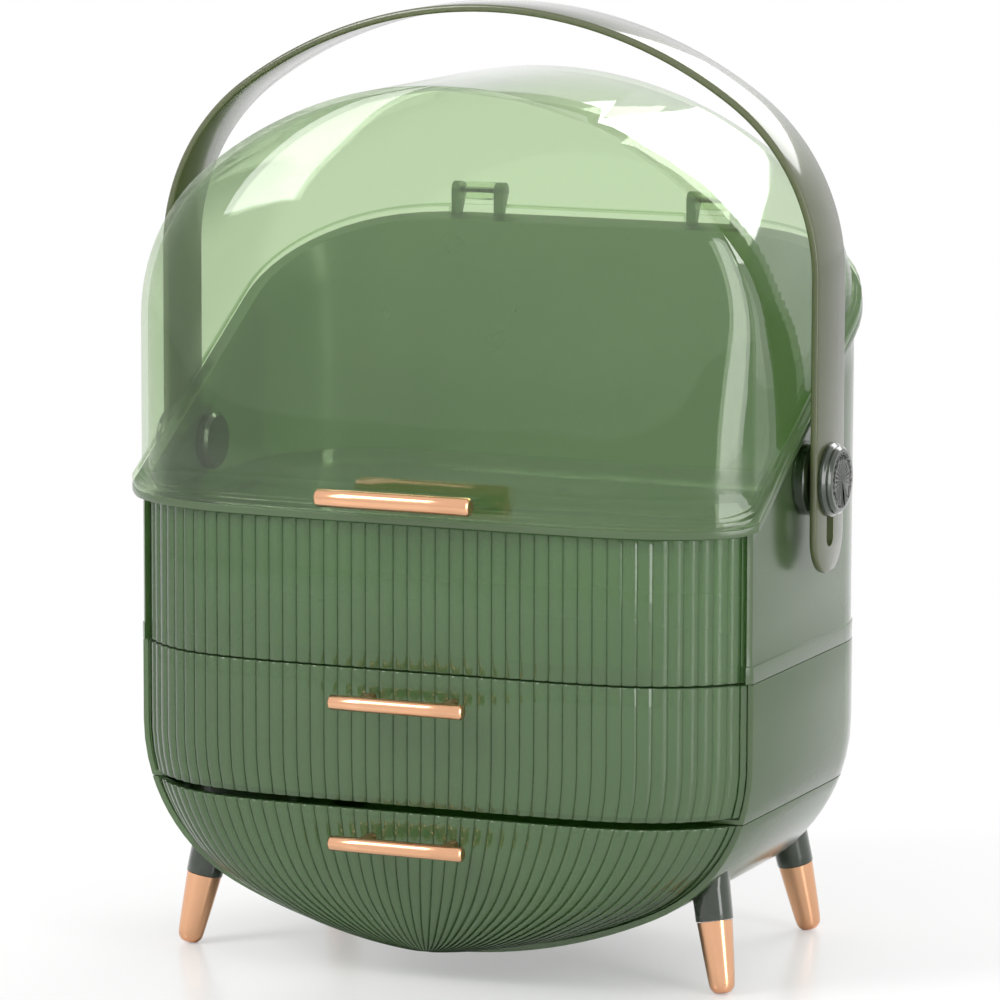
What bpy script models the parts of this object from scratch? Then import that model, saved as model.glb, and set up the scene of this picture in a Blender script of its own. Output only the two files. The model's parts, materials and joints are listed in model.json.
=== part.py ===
"""Portable makeup case: two drawers and a lidded well in one egg-shaped shell.

Seen from the front the case is a tall capsule: a crown and a keel, each drawn as a three-centre arch,
joined by straight sides. That outline runs straight back and is then turned in all round by the rear
radius. The front face is bowed forward and reeded. Every shell, drawer and flange is a loft of
horizontal sections of this one form, set in or out by its own wall, so all the pieces nest.

The origin is on the floor under the handle's pivot line. +X is to the right, the front faces -Y.
"""

from math import asin, atan2, cos, hypot, pi, sin, sqrt

import bmesh
import bpy
from mathutils import Matrix, Vector

# Outline of the case in the front view
HALF_WIDTH = 0.150
CROWN_TOP = 0.4035
CROWN_RADIUS = 0.185
SHOULDER_RADIUS = 0.090
KEEL_HEIGHT = 0.0105
KEEL_RADIUS = 0.245
BILGE_RADIUS = 0.080

# Depth of the case
FRONT_Y = -0.0642
CASE_DEPTH = 0.1778
REAR_RADIUS = 0.060

# Bowed front face
BOW_DEPTH = 0.033
BOW_POWER = 6
LID_FACE_POWER = 2.2
LID_FACE_TOP_SHARE = 0.10
BOWL_ROLL_HEIGHT = 0.058
BOWL_FACE_FOOT_SHARE = 0.35

# Heights where the shell is divided
LOW_SEAM = 0.080
MID_SEAM = 0.144
RIM_HEIGHT = 0.2140
RIM_KINK_SETOFF = 0.007
RIM_KINK_BLEND = 0.006
RIM_REAR_SHARE = 0.856

# Walls and clearances
GAP = 0.0003
SHELL_WALL = 0.0028
LID_WALL = 0.0023
TUB_WALL = 0.0020
FACE_WALL = 0.0032
FLOOR_THICKNESS = 0.0025
WELL_SKIRT = 0.0075
SKIRT_STEP = 0.0006
FLANGE_OUT = 0.0033
FLANGE_THICKNESS = 0.0032
FOOT_BEAD_OUT = 0.0012
FOOT_BEAD_HEIGHT = 0.0016
SEALING_LAND = 0.0002
OVERRUN = 0.020

# Reeding of the fronts
RIB_COUNT = 45
RIB_DEPTH = 0.0012
RIB_MARGIN = 0.0036
RIB_CREST_SHARES = (1 / 3, 2 / 3)

# Grip bars
LID_BAR_LENGTH = 0.0745
LID_BAR_RADIUS = 0.0042
LID_BAR_STANDOFF = 0.0212
LID_BAR_RISE = 0.0096
LID_TAB_WIDTH = 0.066
LID_TAB_THICKNESS = 0.0026
DRAWER_BAR_LENGTH = 0.065
DRAWER_BAR_RADIUS = 0.0035
DRAWER_BAR_STANDOFF = 0.0180
DRAWER_BAR_DROP = 0.0128
BAR_POST_RADIUS = 0.0026
BAR_POST_SPACING = 0.040
BAR_END_ROUND = 0.0009
SCREW_HEAD_RADIUS = 0.0036
SCREW_HEAD_HEIGHT = 0.0018
SCREW_HEAD_CHAMFER = 0.0011
SCREW_SHANK_RADIUS = 0.0014
SCREW_BITE = 0.0075

# Lid hinges on the rear rim
HINGE_SPREAD = 0.060
HINGE_SETBACK = 0.0050
HINGE_RISE = 0.0124
HINGE_RADIUS = 0.0040
HINGE_PIN_RADIUS = 0.0015
HINGE_KNUCKLE_WIDTH = 0.016
HINGE_EAR_WIDTH = 0.005
HINGE_EAR_MARGIN = 0.0007
HINGE_RUNNING_GAP = 0.0004
HINGE_ROOT = 0.0018

# Handle strap and its pivots
PIVOT_RISE_SHARE = 0.316
STRAP_STANDOFF = 0.010
STRAP_HEADROOM = 0.0312
STRAP_CROWN_RADIUS = 0.206
STRAP_SHOULDER_RADIUS = 0.096
STRAP_RUNNING_GAP = 0.0022
STRAP_WIDTH = 0.036
STRAP_THICKNESS = 0.0035
STRAP_EDGE_ROUND = 0.0010
STRAP_TAIL = 0.0425
HANDLE_LIFT = 0.026
PIN_RADIUS = 0.0040
PIN_CLEARANCE = 0.0003
BOSS_RISE_SHARE = 0.398
BOSS_TAPER = 0.0015
CAP_RADIUS = 0.0155
CAP_THICKNESS = 0.0054
CAP_RING_WIDTH = 0.0028
CAP_DISH_DEPTH = 0.0012
CAP_COLLAR_HEIGHT = 0.0016
CAP_COLLAR_OUT = 0.0013
CAP_SOCKET_DEPTH = 0.0026
INNER_COVER_RISE_SHARE = 0.316
INNER_COVER_HEIGHT = 0.0052
INNER_COVER_ROUND = 0.0015
INNER_SOCKET_DEPTH = 0.0030

# Legs
FRONT_FOOT_INSET = 0.0174
FRONT_FOOT_SETBACK = 0.011
REAR_FOOT_INSET = 0.0285
REAR_FOOT_SETBACK = 0.0248
LEG_LEAN_SIDE = 0.0060
LEG_LEAN_DEPTH = 0.0045
LEG_SPLIT_HEIGHT = 0.032
LEG_TIP_RADIUS = 0.0061
LEG_SPLIT_RADIUS = 0.0082
LEG_TOP_RADIUS = 0.0098
LEG_TIP_ROUND = 0.0045
LEG_FERRULE_STEP = 0.0004
LEG_REACH = 0.085

# Removable tray at rim height and the ledges it rests on
TRAY_FLOOR_DROP = 0.0105
TRAY_WALL = 0.0018
TRAY_HEIGHT = 0.0085
TRAY_SIDE_GAP = 0.0006
LEDGE_SETBACK = 0.0060
LEDGE_WIDTH = 0.0050
LEDGE_THICKNESS = 0.0024

# Values that follow from the ones above. The handle's pivots fit in the rim's rise from the front to them
REAR_CENTRE_Y = FRONT_Y + CASE_DEPTH - REAR_RADIUS
BACK_Y = FRONT_Y + CASE_DEPTH
FACE_Y = FRONT_Y - BOW_DEPTH
CROWN_CENTRE_Z = CROWN_TOP - CROWN_RADIUS
KEEL_CENTRE_Z = KEEL_HEIGHT + KEEL_RADIUS
SHOULDER_X = HALF_WIDTH - SHOULDER_RADIUS
BILGE_X = HALF_WIDTH - BILGE_RADIUS
SHOULDER_Z = CROWN_CENTRE_Z + sqrt((CROWN_RADIUS - SHOULDER_RADIUS) ** 2 - SHOULDER_X**2)
BILGE_Z = KEEL_CENTRE_Z - sqrt((KEEL_RADIUS - BILGE_RADIUS) ** 2 - BILGE_X**2)
SHOULDER_ANGLE = atan2(SHOULDER_Z - CROWN_CENTRE_Z, SHOULDER_X)
BILGE_ANGLE = atan2(KEEL_CENTRE_Z - BILGE_Z, BILGE_X)
RIM_RISE = RIM_REAR_SHARE * (CROWN_TOP - REAR_RADIUS - RIM_HEIGHT)
RIM_SLOPE = RIM_RISE / (CASE_DEPTH + RIM_KINK_SETOFF)
RIM_STRETCH = hypot(1, RIM_SLOPE)
SIDE_RISE = RIM_SLOPE * (RIM_KINK_SETOFF - FRONT_Y)
PIVOT_HEIGHT = RIM_HEIGHT + PIVOT_RISE_SHARE * SIDE_RISE
BOSS_RADIUS = BOSS_RISE_SHARE * SIDE_RISE
INNER_COVER_RADIUS = INNER_COVER_RISE_SHARE * SIDE_RISE
STRAP_HALF_SPAN = HALF_WIDTH + STRAP_STANDOFF
STRAP_TOP = CROWN_TOP + STRAP_HEADROOM
DRAWER_INSET = SHELL_WALL + GAP
HINGE_Y = BACK_Y + HINGE_SETBACK

# Facets of the curved stretches
CROWN_STEPS = 5
SHOULDER_STEPS = 5
BILGE_STEPS = 4
KEEL_STEPS = 4
REAR_STEPS = 6
BOW_STEPS = 9
FACE_SAMPLES = 600
ARCH_STEPS = 12
STRAP_STEPS = 6
EAR_STEPS = 8
TIP_STEPS = 3
ROUND_STEPS = 24
ROD_STEPS = 20
SMALL_ROUND_STEPS = 16
PIN_STEPS = 12

# Rows of facets up the wall of the well, closer together under the flange
WALL_ROW_SHARES = (0, 0.8, 0.87, 0.94, 1)

COLOURS = {
    "satin_green": ((0.058, 0.096, 0.043, 1.0), 0.42, 0.0),
    "clear_green": ((0.190, 0.330, 0.160, 0.45), 0.08, 0.0),
    "smoke_green": ((0.060, 0.115, 0.055, 0.60), 0.10, 0.0),
    "olive_strap": ((0.110, 0.125, 0.055, 0.80), 0.16, 0.0),
    "gloss_green": ((0.016, 0.026, 0.012, 1.0), 0.12, 0.0),
    "rose_gold": ((0.800, 0.430, 0.270, 1.0), 0.20, 1.0),
    "steel": ((0.560, 0.560, 0.550, 1.0), 0.25, 1.0),
}


def clear_scene():
    for obj in list(bpy.data.objects):
        bpy.data.objects.remove(obj, do_unlink=True)


def material(name):
    found = bpy.data.materials.get(name)
    if found:
        return found
    colour, roughness, metallic = COLOURS[name]
    made = bpy.data.materials.new(name)
    made.use_nodes = True
    shader = made.node_tree.nodes["Principled BSDF"]
    shader.inputs["Base Color"].default_value = colour[:3] + (1.0,)
    shader.inputs["Alpha"].default_value = colour[3]
    shader.inputs["Roughness"].default_value = roughness
    shader.inputs["Metallic"].default_value = metallic
    return made


def object_from(name, work, finish=None):
    """An object from a bmesh, with its finish, or a hidden cutter where no finish is given."""
    bmesh.ops.recalc_face_normals(work, faces=work.faces)
    mesh = bpy.data.meshes.new(name)
    work.to_mesh(mesh)
    work.free()
    obj = bpy.data.objects.new(name, mesh)
    bpy.context.scene.collection.objects.link(obj)
    if finish:
        mesh.materials.append(material(finish))
        mesh.shade_smooth()
        mesh.set_sharp_from_angle(angle=pi / 6)
    else:
        obj.hide_render = True
        obj.display_type = "WIRE"
    return obj


def combine(obj, other, operation):
    modifier = obj.modifiers.new(f"{operation.lower()}_{other.name}", "BOOLEAN")
    modifier.operation = operation
    modifier.solver = "EXACT"
    modifier.object = other
    return obj


def cut(obj, *cutters):
    for cutter in cutters:
        combine(obj, cutter, "DIFFERENCE")
    return obj


def add(obj, *others):
    for other in others:
        combine(obj, other, "UNION")
    return obj


def keep(obj, region):
    return combine(obj, region, "INTERSECT")


# The case's form


def half_width(z, inset):
    """Half the width of the outline at a height, with the outline set in by inset."""
    if z > SHOULDER_Z:
        joint = SHOULDER_Z + (SHOULDER_RADIUS - inset) * sin(SHOULDER_ANGLE)
        if z < joint:
            return SHOULDER_X + sqrt((SHOULDER_RADIUS - inset) ** 2 - (z - SHOULDER_Z) ** 2)
        return sqrt(max((CROWN_RADIUS - inset) ** 2 - (z - CROWN_CENTRE_Z) ** 2, 0))
    if z < BILGE_Z:
        joint = BILGE_Z - (BILGE_RADIUS - inset) * sin(BILGE_ANGLE)
        if z > joint:
            return BILGE_X + sqrt((BILGE_RADIUS - inset) ** 2 - (BILGE_Z - z) ** 2)
        return sqrt(max((KEEL_RADIUS - inset) ** 2 - (KEEL_CENTRE_Z - z) ** 2, 0))
    return HALF_WIDTH - inset


def crown_levels(inset):
    """Heights of the facets of the crown and shoulders, from the shoulder's spring to the top."""
    shoulder = [
        SHOULDER_Z + (SHOULDER_RADIUS - inset) * sin(SHOULDER_ANGLE * step / SHOULDER_STEPS)
        for step in range(SHOULDER_STEPS)
    ]
    sweep = pi / 2 - SHOULDER_ANGLE
    crown = [
        CROWN_CENTRE_Z + (CROWN_RADIUS - inset) * sin(SHOULDER_ANGLE + sweep * step / CROWN_STEPS)
        for step in range(CROWN_STEPS)
    ]
    return shoulder + crown + [CROWN_TOP - inset - SEALING_LAND]


def keel_levels(inset):
    """Heights of the facets of the keel and bilges, from the bottom up."""
    sweep = pi / 2 - BILGE_ANGLE
    keel = [
        KEEL_CENTRE_Z - (KEEL_RADIUS - inset) * sin(pi / 2 - sweep * step / KEEL_STEPS)
        for step in range(1, KEEL_STEPS)
    ]
    bilge = [
        BILGE_Z - (BILGE_RADIUS - inset) * sin(BILGE_ANGLE * (1 - step / BILGE_STEPS))
        for step in range(BILGE_STEPS)
    ]
    return [KEEL_HEIGHT + inset + SEALING_LAND] + keel + bilge + [BILGE_Z]


def levels_between(low, high, inset):
    """The facet heights between two cuts, with the cuts themselves."""
    inner = [z for z in keel_levels(inset) + crown_levels(inset) if low + GAP < z < high - GAP]
    return [low] + inner + [high]


def bowl_levels(inset):
    """The keel's facet heights up to the lower seam."""
    top = LOW_SEAM - GAP
    return [z for z in keel_levels(inset) if z < top - GAP] + [top]


def face_share(z):
    """How much of the bow the front face has at a height: all of it between bowl and lid."""
    if z > RIM_HEIGHT:
        climb = (z - RIM_HEIGHT) / (CROWN_TOP - RIM_HEIGHT)
        return 1 - (1 - LID_FACE_TOP_SHARE) * min(climb, 1) ** LID_FACE_POWER
    if z < BOWL_ROLL_HEIGHT:
        drop = (BOWL_ROLL_HEIGHT - z) / (BOWL_ROLL_HEIGHT - KEEL_HEIGHT)
        roll = sqrt(max(1 - drop**2, 0))
        return BOWL_FACE_FOOT_SHARE + (1 - BOWL_FACE_FOOT_SHARE) * roll
    return 1.0


def groove_shares():
    """Where the grooves between the reeds cross the face, as shares of its half width.

    The reeds are equally wide along the bowed face, so the shares come from its arc length.
    """
    shares = [2 * step / FACE_SAMPLES - 1 for step in range(FACE_SAMPLES + 1)]
    points = [(HALF_WIDTH * s, -BOW_DEPTH * (1 - abs(s) ** BOW_POWER)) for s in shares]
    lengths = [0.0]
    for before, after in zip(points, points[1:]):
        lengths.append(lengths[-1] + hypot(after[0] - before[0], after[1] - before[1]))
    pitch = (lengths[-1] - 2 * RIB_MARGIN) / RIB_COUNT
    found = []
    place = 0
    for groove in range(RIB_COUNT + 1):
        wanted = RIB_MARGIN + groove * pitch
        while lengths[place + 1] < wanted:
            place += 1
        part = (wanted - lengths[place]) / (lengths[place + 1] - lengths[place])
        found.append(shares[place] + part * (shares[place + 1] - shares[place]))
    return found


def reeded_face():
    """Shares across a reeded face, each with 1 on a groove and 0 on a crest or the plain margin."""
    grooves = groove_shares()
    columns = [(-1.0, 0)]
    for left, right in zip(grooves, grooves[1:]):
        columns.append((left, 1))
        columns += [(left + (right - left) * share, 0) for share in RIB_CREST_SHARES]
    return columns + [(grooves[-1], 1), (1.0, 0)]


def plain_face():
    """Shares across a smooth face, closer together where it draws back."""
    half = [(step / BOW_STEPS) ** (2 / BOW_POWER) for step in range(1, BOW_STEPS + 1)]
    return [(-share, 0) for share in reversed(half)] + [(0, 0)] + [(share, 0) for share in half]


def section(z, inset, columns, face_inset=0.0, front_y=None):
    """One horizontal section of the form, as points running anticlockwise from the front left.

    columns gives the bowed face. Without it the section is cut straight across at front_y.
    """
    width = half_width(z, inset)
    if columns:
        depth = BOW_DEPTH * face_share(z)
        loop = []
        for share, groove in columns:
            y = FRONT_Y + face_inset + groove * RIB_DEPTH - depth * (1 - abs(share) ** BOW_POWER)
            loop.append((share * width, y))
    else:
        loop = [(-width, front_y), (width, front_y)]
    turn = REAR_RADIUS - inset
    nearest_end = min(CROWN_TOP - z, z - KEEL_HEIGHT) - SEALING_LAND / 2
    deepest = max(min(REAR_RADIUS, nearest_end), inset + SEALING_LAND / 4)
    end = atan2(sqrt(turn**2 - (REAR_RADIUS - deepest) ** 2), REAR_RADIUS - deepest)
    right = []
    for step in range(REAR_STEPS + 1):
        angle = end * step / REAR_STEPS
        x = half_width(z, REAR_RADIUS - turn * cos(angle))
        right.append((x, REAR_CENTRE_Y + turn * sin(angle)))
    return loop + right + [(-x, y) for x, y in reversed(right)]


def loft(name, levels, inset, columns=None, face_inset=0.0, front_y=None, finish=None, step_in=None):
    """A closed solid through the sections at these heights."""
    work = bmesh.new()
    rings = []
    for z in levels:
        extra = step_in(z) if step_in else 0.0
        loop = section(z, inset + extra, columns, face_inset, front_y)
        rings.append([work.verts.new((x, y, z)) for x, y in loop])
    for lower, upper in zip(rings, rings[1:]):
        bridge(work, lower, upper)
    work.faces.new(list(reversed(rings[0])))
    work.faces.new(rings[-1])
    return object_from(name, work, finish)


def rim(lift):
    """The rim as a height for each depth: level along the front, climbing evenly to the rear."""
    level = RIM_HEIGHT + lift
    kink = FRONT_Y - RIM_KINK_SETOFF - lift * (RIM_STRETCH - 1) / RIM_SLOPE

    def height(y):
        past = y - kink
        if abs(past) < RIM_KINK_BLEND:
            return level + RIM_SLOPE * (past + RIM_KINK_BLEND) ** 2 / (4 * RIM_KINK_BLEND)
        return level + RIM_SLOPE * max(past, 0)

    return height


def level(z):
    return lambda y: z


def part_way(low, high, share):
    return lambda y: low(y) + (high(y) - low(y)) * share


def side_stations(inset):
    """Depths behind the front corner, each with how far the outline has drawn in there."""
    turn = REAR_RADIUS - inset
    angles = [pi / 2 * step / REAR_STEPS for step in range(REAR_STEPS + 1)]
    return [(REAR_CENTRE_Y + turn * sin(a), REAR_RADIUS - turn * cos(a)) for a in angles]


def face_points(height, inset, face_inset, columns):
    """A line across the bowed face, at the height that belongs to each depth."""
    points = []
    for share, groove in columns:
        bow = BOW_DEPTH * (1 - abs(share) ** BOW_POWER)
        y = FRONT_Y + face_inset + groove * RIB_DEPTH - face_share(height(FACE_Y)) * bow
        z = height(y)
        points.append((share * half_width(z, inset), y, z))
    return points


def ring(height, inset, face_inset, columns):
    """A line right round the form, across the face and back round the rear, anticlockwise."""
    right = [(half_width(height(y), drawn), y, height(y)) for y, drawn in side_stations(inset)]
    front = face_points(height, inset, face_inset, columns)
    return front + right + [(-x, y, z) for x, y, z in reversed(right)]


def bridge(work, lower, upper):
    """Joins two closed lines with triangles, each pair split along its shorter diagonal."""
    for i in range(len(lower)):
        j = (i + 1) % len(lower)
        a, b, c, d = lower[i], lower[j], upper[j], upper[i]
        if (a.co - c.co).length < (b.co - d.co).length:
            pair = ((a, b, c), (a, c, d))
        else:
            pair = ((a, b, d), (b, c, d))
        for corners in pair:
            work.faces.new(corners)


def lace(work, near, far):
    """Joins two open lines that run the same way across the face but hold different numbers of points."""
    i, j = 0, 0
    while i + j < len(near) + len(far) - 2:
        near_left = i < len(near) - 1
        far_left = j < len(far) - 1
        if near_left and (not far_left or near[i + 1].co.x <= far[j + 1].co.x):
            corners = (near[i], near[i + 1], far[j])
            i += 1
        else:
            corners = (near[i], far[j + 1], far[j])
            j += 1
        if len(set(corners)) == len(corners):
            work.faces.new(corners)


def through_rings(name, rings, finish=None):
    """A closed solid through these lines of points, capped at both ends."""
    work = bmesh.new()
    lines = [[work.verts.new(point) for point in line] for line in rings]
    for lower, upper in zip(lines, lines[1:]):
        bridge(work, lower, upper)
    work.faces.new(list(reversed(lines[0])))
    work.faces.new(lines[-1])
    return object_from(name, work, finish)


def arch_points(foot, inset):
    """The right half of the outline from a height up to the crown, in even steps."""
    shoulder = SHOULDER_RADIUS - inset
    crown = CROWN_RADIUS - inset
    straight = max(SHOULDER_Z - foot, 0)
    shoulder_start = min(max(foot - SHOULDER_Z, 0) / shoulder, sin(SHOULDER_ANGLE))
    first = asin(shoulder_start)
    second = max(asin((foot - CROWN_CENTRE_Z) / crown), SHOULDER_ANGLE)
    bend = shoulder * (SHOULDER_ANGLE - first)
    total = straight + bend + crown * (pi / 2 - second)
    points = []
    for step in range(1, ARCH_STEPS):
        run = total * step / ARCH_STEPS
        if run < straight:
            points.append((HALF_WIDTH - inset, foot + run))
        elif run < straight + bend:
            angle = first + (run - straight) / shoulder
            points.append((SHOULDER_X + shoulder * cos(angle), SHOULDER_Z + shoulder * sin(angle)))
        else:
            angle = second + (run - straight - bend) / crown
            points.append((crown * cos(angle), CROWN_CENTRE_Z + crown * sin(angle)))
    return points + [(0, CROWN_CENTRE_Z + crown)]


def dome(work, foot, height, inset, face_inset, columns):
    """Closes the form above a foot ring: the bowed face, the arch over the top and the flat back."""
    corner = (FRONT_Y + face_inset, inset)
    last = len(columns) - 1
    behind = len(foot) - 1
    depths = [corner] + side_stations(inset)
    arches = [arch_points(height(y), drawn) for y, drawn in depths]
    apexes = [work.verts.new((0, y, arch[-1][1])) for (y, drawn), arch in zip(depths, arches)]
    sides = []
    for sign, first in ((1, last), (-1, len(foot))):
        lines = []
        for number, ((y, drawn), arch) in enumerate(zip(depths, arches)):
            base = foot[(first + sign * number) % len(foot)]
            climb = [work.verts.new((sign * x, y, z)) for x, z in arch[:-1]]
            lines.append([base] + climb + [apexes[number]])
        for near, far in zip(lines, lines[1:]):
            for k in range(ARCH_STEPS):
                work.faces.new((near[k], far[k], far[k + 1], near[k + 1]))
        sides.append(lines)
    right, left = sides
    work.faces.new(right[-1][:-1] + list(reversed(left[-1])))
    below = foot[: last + 1]
    for k in range(1, ARCH_STEPS):
        x, z = arches[0][k - 1]
        bow = BOW_DEPTH * face_share(z)
        across = [left[0][k]]
        for share, groove in columns[1:-1]:
            y = FRONT_Y + face_inset - bow * (1 - abs(share) ** BOW_POWER)
            across.append(work.verts.new((share * x, y, z)))
        across.append(right[0][k])
        for i in range(last):
            work.faces.new((below[i], below[i + 1], across[i + 1], across[i]))
        below = across
    for i in range(last):
        work.faces.new((below[i], below[i + 1], apexes[0]))


def box(name, low, high, finish=None):
    work = bmesh.new()
    bmesh.ops.create_cube(work, size=1)
    middle = [(a + b) / 2 for a, b in zip(low, high)]
    size = [b - a for a, b in zip(low, high)]
    place = Matrix.Translation(middle) @ Matrix.Diagonal((*size, 1))
    bmesh.ops.transform(work, matrix=place, verts=work.verts)
    return object_from(name, work, finish)


def turned(name, profile, axis, base, finish=None, steps=ROUND_STEPS):
    """A profile of (radius, height) points turned about an axis through base."""
    work = bmesh.new()
    rings = []
    for radius, height in profile:
        if radius == 0:
            rings.append([work.verts.new((0, 0, height))])
            continue
        angles = [2 * pi * (step + 0.5) / steps for step in range(steps)]
        rings.append([work.verts.new((radius * cos(a), radius * sin(a), height)) for a in angles])
    for lower, upper in zip(rings, rings[1:]):
        for i in range(steps):
            j = (i + 1) % steps
            corners = [lower[i % len(lower)], lower[j % len(lower)]]
            corners += [upper[j % len(upper)], upper[i % len(upper)]]
            work.faces.new(list(dict.fromkeys(corners)))
    for end in (list(reversed(rings[0])), rings[-1]):
        if len(end) > 1:
            work.faces.new(end)
    turn = Vector((0, 0, 1)).rotation_difference(Vector(axis)).to_matrix().to_4x4()
    bmesh.ops.transform(work, matrix=turn, verts=work.verts)
    obj = object_from(name, work, finish)
    obj.location = base
    return obj


def extruded_x(name, profile, low_x, high_x, finish=None):
    """A closed outline of (y, z) points run from low_x to high_x."""
    work = bmesh.new()
    near = [work.verts.new((low_x, y, z)) for y, z in profile]
    far = [work.verts.new((high_x, y, z)) for y, z in profile]
    for i in range(len(profile)):
        j = (i + 1) % len(profile)
        work.faces.new((near[i], near[j], far[j], far[i]))
    work.faces.new(near)
    work.faces.new(list(reversed(far)))
    return object_from(name, work, finish)


def stadium(top_z, bottom_z, radius, steps=SMALL_ROUND_STEPS):
    """A slot outline about y = 0 with round ends centred on the two heights."""
    turns = [2 * pi * step / steps for step in range(steps // 2 + 1)]
    upper = [(radius * cos(a), top_z + radius * sin(a)) for a in turns]
    return upper + [(-radius * cos(a), bottom_z - radius * sin(a)) for a in turns]


# Shell


def hinge_centre(side):
    return Vector((side * HINGE_SPREAD, HINGE_Y, rim(0)(BACK_Y) + HINGE_RISE))


def ear_blanks(side):
    """The two ears of one hinge, standing on the rear flange and rounded about the pin."""
    centre = hinge_centre(side)
    foot = rim(0)(BACK_Y) - FLANGE_THICKNESS / 2
    blanks = []
    for number, inner in enumerate((-1, 1)):
        near = centre.x + inner * (HINGE_KNUCKLE_WIDTH / 2 + HINGE_RUNNING_GAP)
        far = near + inner * HINGE_EAR_WIDTH
        arc = [pi * step / EAR_STEPS for step in range(-EAR_STEPS // 4, EAR_STEPS + 1)]
        outline = [(HINGE_Y + HINGE_RADIUS * cos(a), centre.z + HINGE_RADIUS * sin(a)) for a in arc]
        outline += [(HINGE_Y - HINGE_RADIUS, foot), (BACK_Y + FLANGE_OUT - HINGE_EAR_MARGIN, foot)]
        name = f"ear_blank_{side}_{number}"
        blanks.append(extruded_x(name, outline, min(near, far), max(near, far)))
    return blanks


def make_upper_housing():
    """Walls of the well with the slanted rim flange, the floor and the tray's ledges."""
    bare = plain_face()
    floor_top = level(MID_SEAM + WELL_SKIRT)
    under = level(MID_SEAM + WELL_SKIRT - FLOOR_THICKNESS)
    step_top = level(MID_SEAM + WELL_SKIRT + SKIRT_STEP)
    flange_under = rim(-FLANGE_THICKNESS)
    hidden = 2 * SHELL_WALL
    rings = [ring(under, hidden, hidden, bare), ring(level(MID_SEAM), hidden, hidden, bare)]
    rings += [ring(level(MID_SEAM), 0, 0, bare), ring(floor_top, 0, 0, bare)]
    for share in WALL_ROW_SHARES:
        rings.append(ring(part_way(step_top, flange_under, share), SKIRT_STEP, 0, bare))
    for height in (flange_under, rim(0)):
        rings.append(ring(height, -FLANGE_OUT, -FLANGE_OUT, bare))
    for share in reversed(WALL_ROW_SHARES):
        rings.append(ring(part_way(floor_top, rim(0), share), SHELL_WALL, FACE_WALL, bare))
    body = through_rings("upper_housing", rings, "satin_green")
    face = [(x, y) for x, y, z in face_points(floor_top, DRAWER_INSET, FACE_WALL + 2 * GAP, bare)]
    rebate = HALF_WIDTH - SHELL_WALL + GAP
    plan = [(-rebate, face[0][1])] + face + [(rebate, face[-1][1])]
    plan += [(rebate, FACE_Y - OVERRUN), (-rebate, FACE_Y - OVERRUN)]
    heights = (MID_SEAM - OVERRUN, RIM_HEIGHT - FLANGE_THICKNESS - GAP)
    opening = through_rings("panel_opening", [[(x, y, z) for x, y in plan] for z in heights])
    cut(body, opening)
    ledge_top = RIM_HEIGHT - TRAY_FLOOR_DROP - GAP
    for side in (-1, 1):
        outer = side * (HALF_WIDTH - SHELL_WALL / 2)
        inner = side * (HALF_WIDTH - SHELL_WALL - LEDGE_WIDTH)
        low = (min(outer, inner), FRONT_Y + LEDGE_SETBACK, ledge_top - LEDGE_THICKNESS)
        high = (max(outer, inner), REAR_CENTRE_Y - LEDGE_SETBACK, ledge_top)
        add(body, box(f"tray_ledge_{side}", low, high))
        add(body, *ear_blanks(side))
        cut(body, hinge_bore(side), pivot_bore(side))
    return body


def hinge_bore(side):
    """Clears the hinge pin through the ears and the knuckle between them."""
    name = f"hinge_bore_{side}"
    if name in bpy.data.objects:
        return bpy.data.objects[name]
    span = HINGE_KNUCKLE_WIDTH + 2 * HINGE_EAR_WIDTH + OVERRUN
    start = hinge_centre(side) - Vector((span / 2, 0, 0))
    hole = HINGE_PIN_RADIUS + GAP
    return turned(name, [(hole, 0), (hole, span)], (1, 0, 0), start, steps=PIN_STEPS)


def pivot_bore(side):
    """Clears the handle's pin through whatever it is cut from, and is shared by all of them."""
    name = f"pivot_bore_{side}"
    if name in bpy.data.objects:
        return bpy.data.objects[name]
    hole = PIN_RADIUS + PIN_CLEARANCE
    base = (side * (HALF_WIDTH - OVERRUN), 0, PIVOT_HEIGHT)
    profile = [(hole, 0), (hole, 2 * OVERRUN)]
    return turned(name, profile, (side, 0, 0), base, steps=SMALL_ROUND_STEPS)


def make_front_panel():
    """The fixed reeded panel that closes the front of the well, from the seam up to the flange."""
    heights = (level(MID_SEAM + GAP), level(RIM_HEIGHT - FLANGE_THICKNESS - 2 * GAP))
    work = bmesh.new()
    pairs = []
    for height in heights:
        reeds = face_points(height, DRAWER_INSET, 0, reeded_face())
        bare = face_points(height, DRAWER_INSET, FACE_WALL, plain_face())
        front = [work.verts.new(point) for point in reeds]
        back = [work.verts.new(point) for point in bare]
        lace(work, front, back)
        pairs.append(front + list(reversed(back)))
    bridge(work, *pairs)
    return object_from("front_panel", work, "smoke_green")


def make_middle_housing():
    top = MID_SEAM - GAP
    outside = levels_between(LOW_SEAM, top, 0)
    body = loft("middle_housing", outside, 0, front_y=FRONT_Y, finish="satin_green")
    space = levels_between(LOW_SEAM + FLOOR_THICKNESS, top + OVERRUN, SHELL_WALL)
    return cut(body, loft("drawer_bay", space, SHELL_WALL, front_y=FRONT_Y - OVERRUN))


def make_lower_housing():
    body = loft("lower_housing", bowl_levels(0), 0, front_y=FRONT_Y, finish="satin_green")
    space = bowl_levels(SHELL_WALL) + [MID_SEAM]
    return cut(body, loft("bowl_bay", space, SHELL_WALL, front_y=FRONT_Y - OVERRUN))


# Drawers


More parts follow.
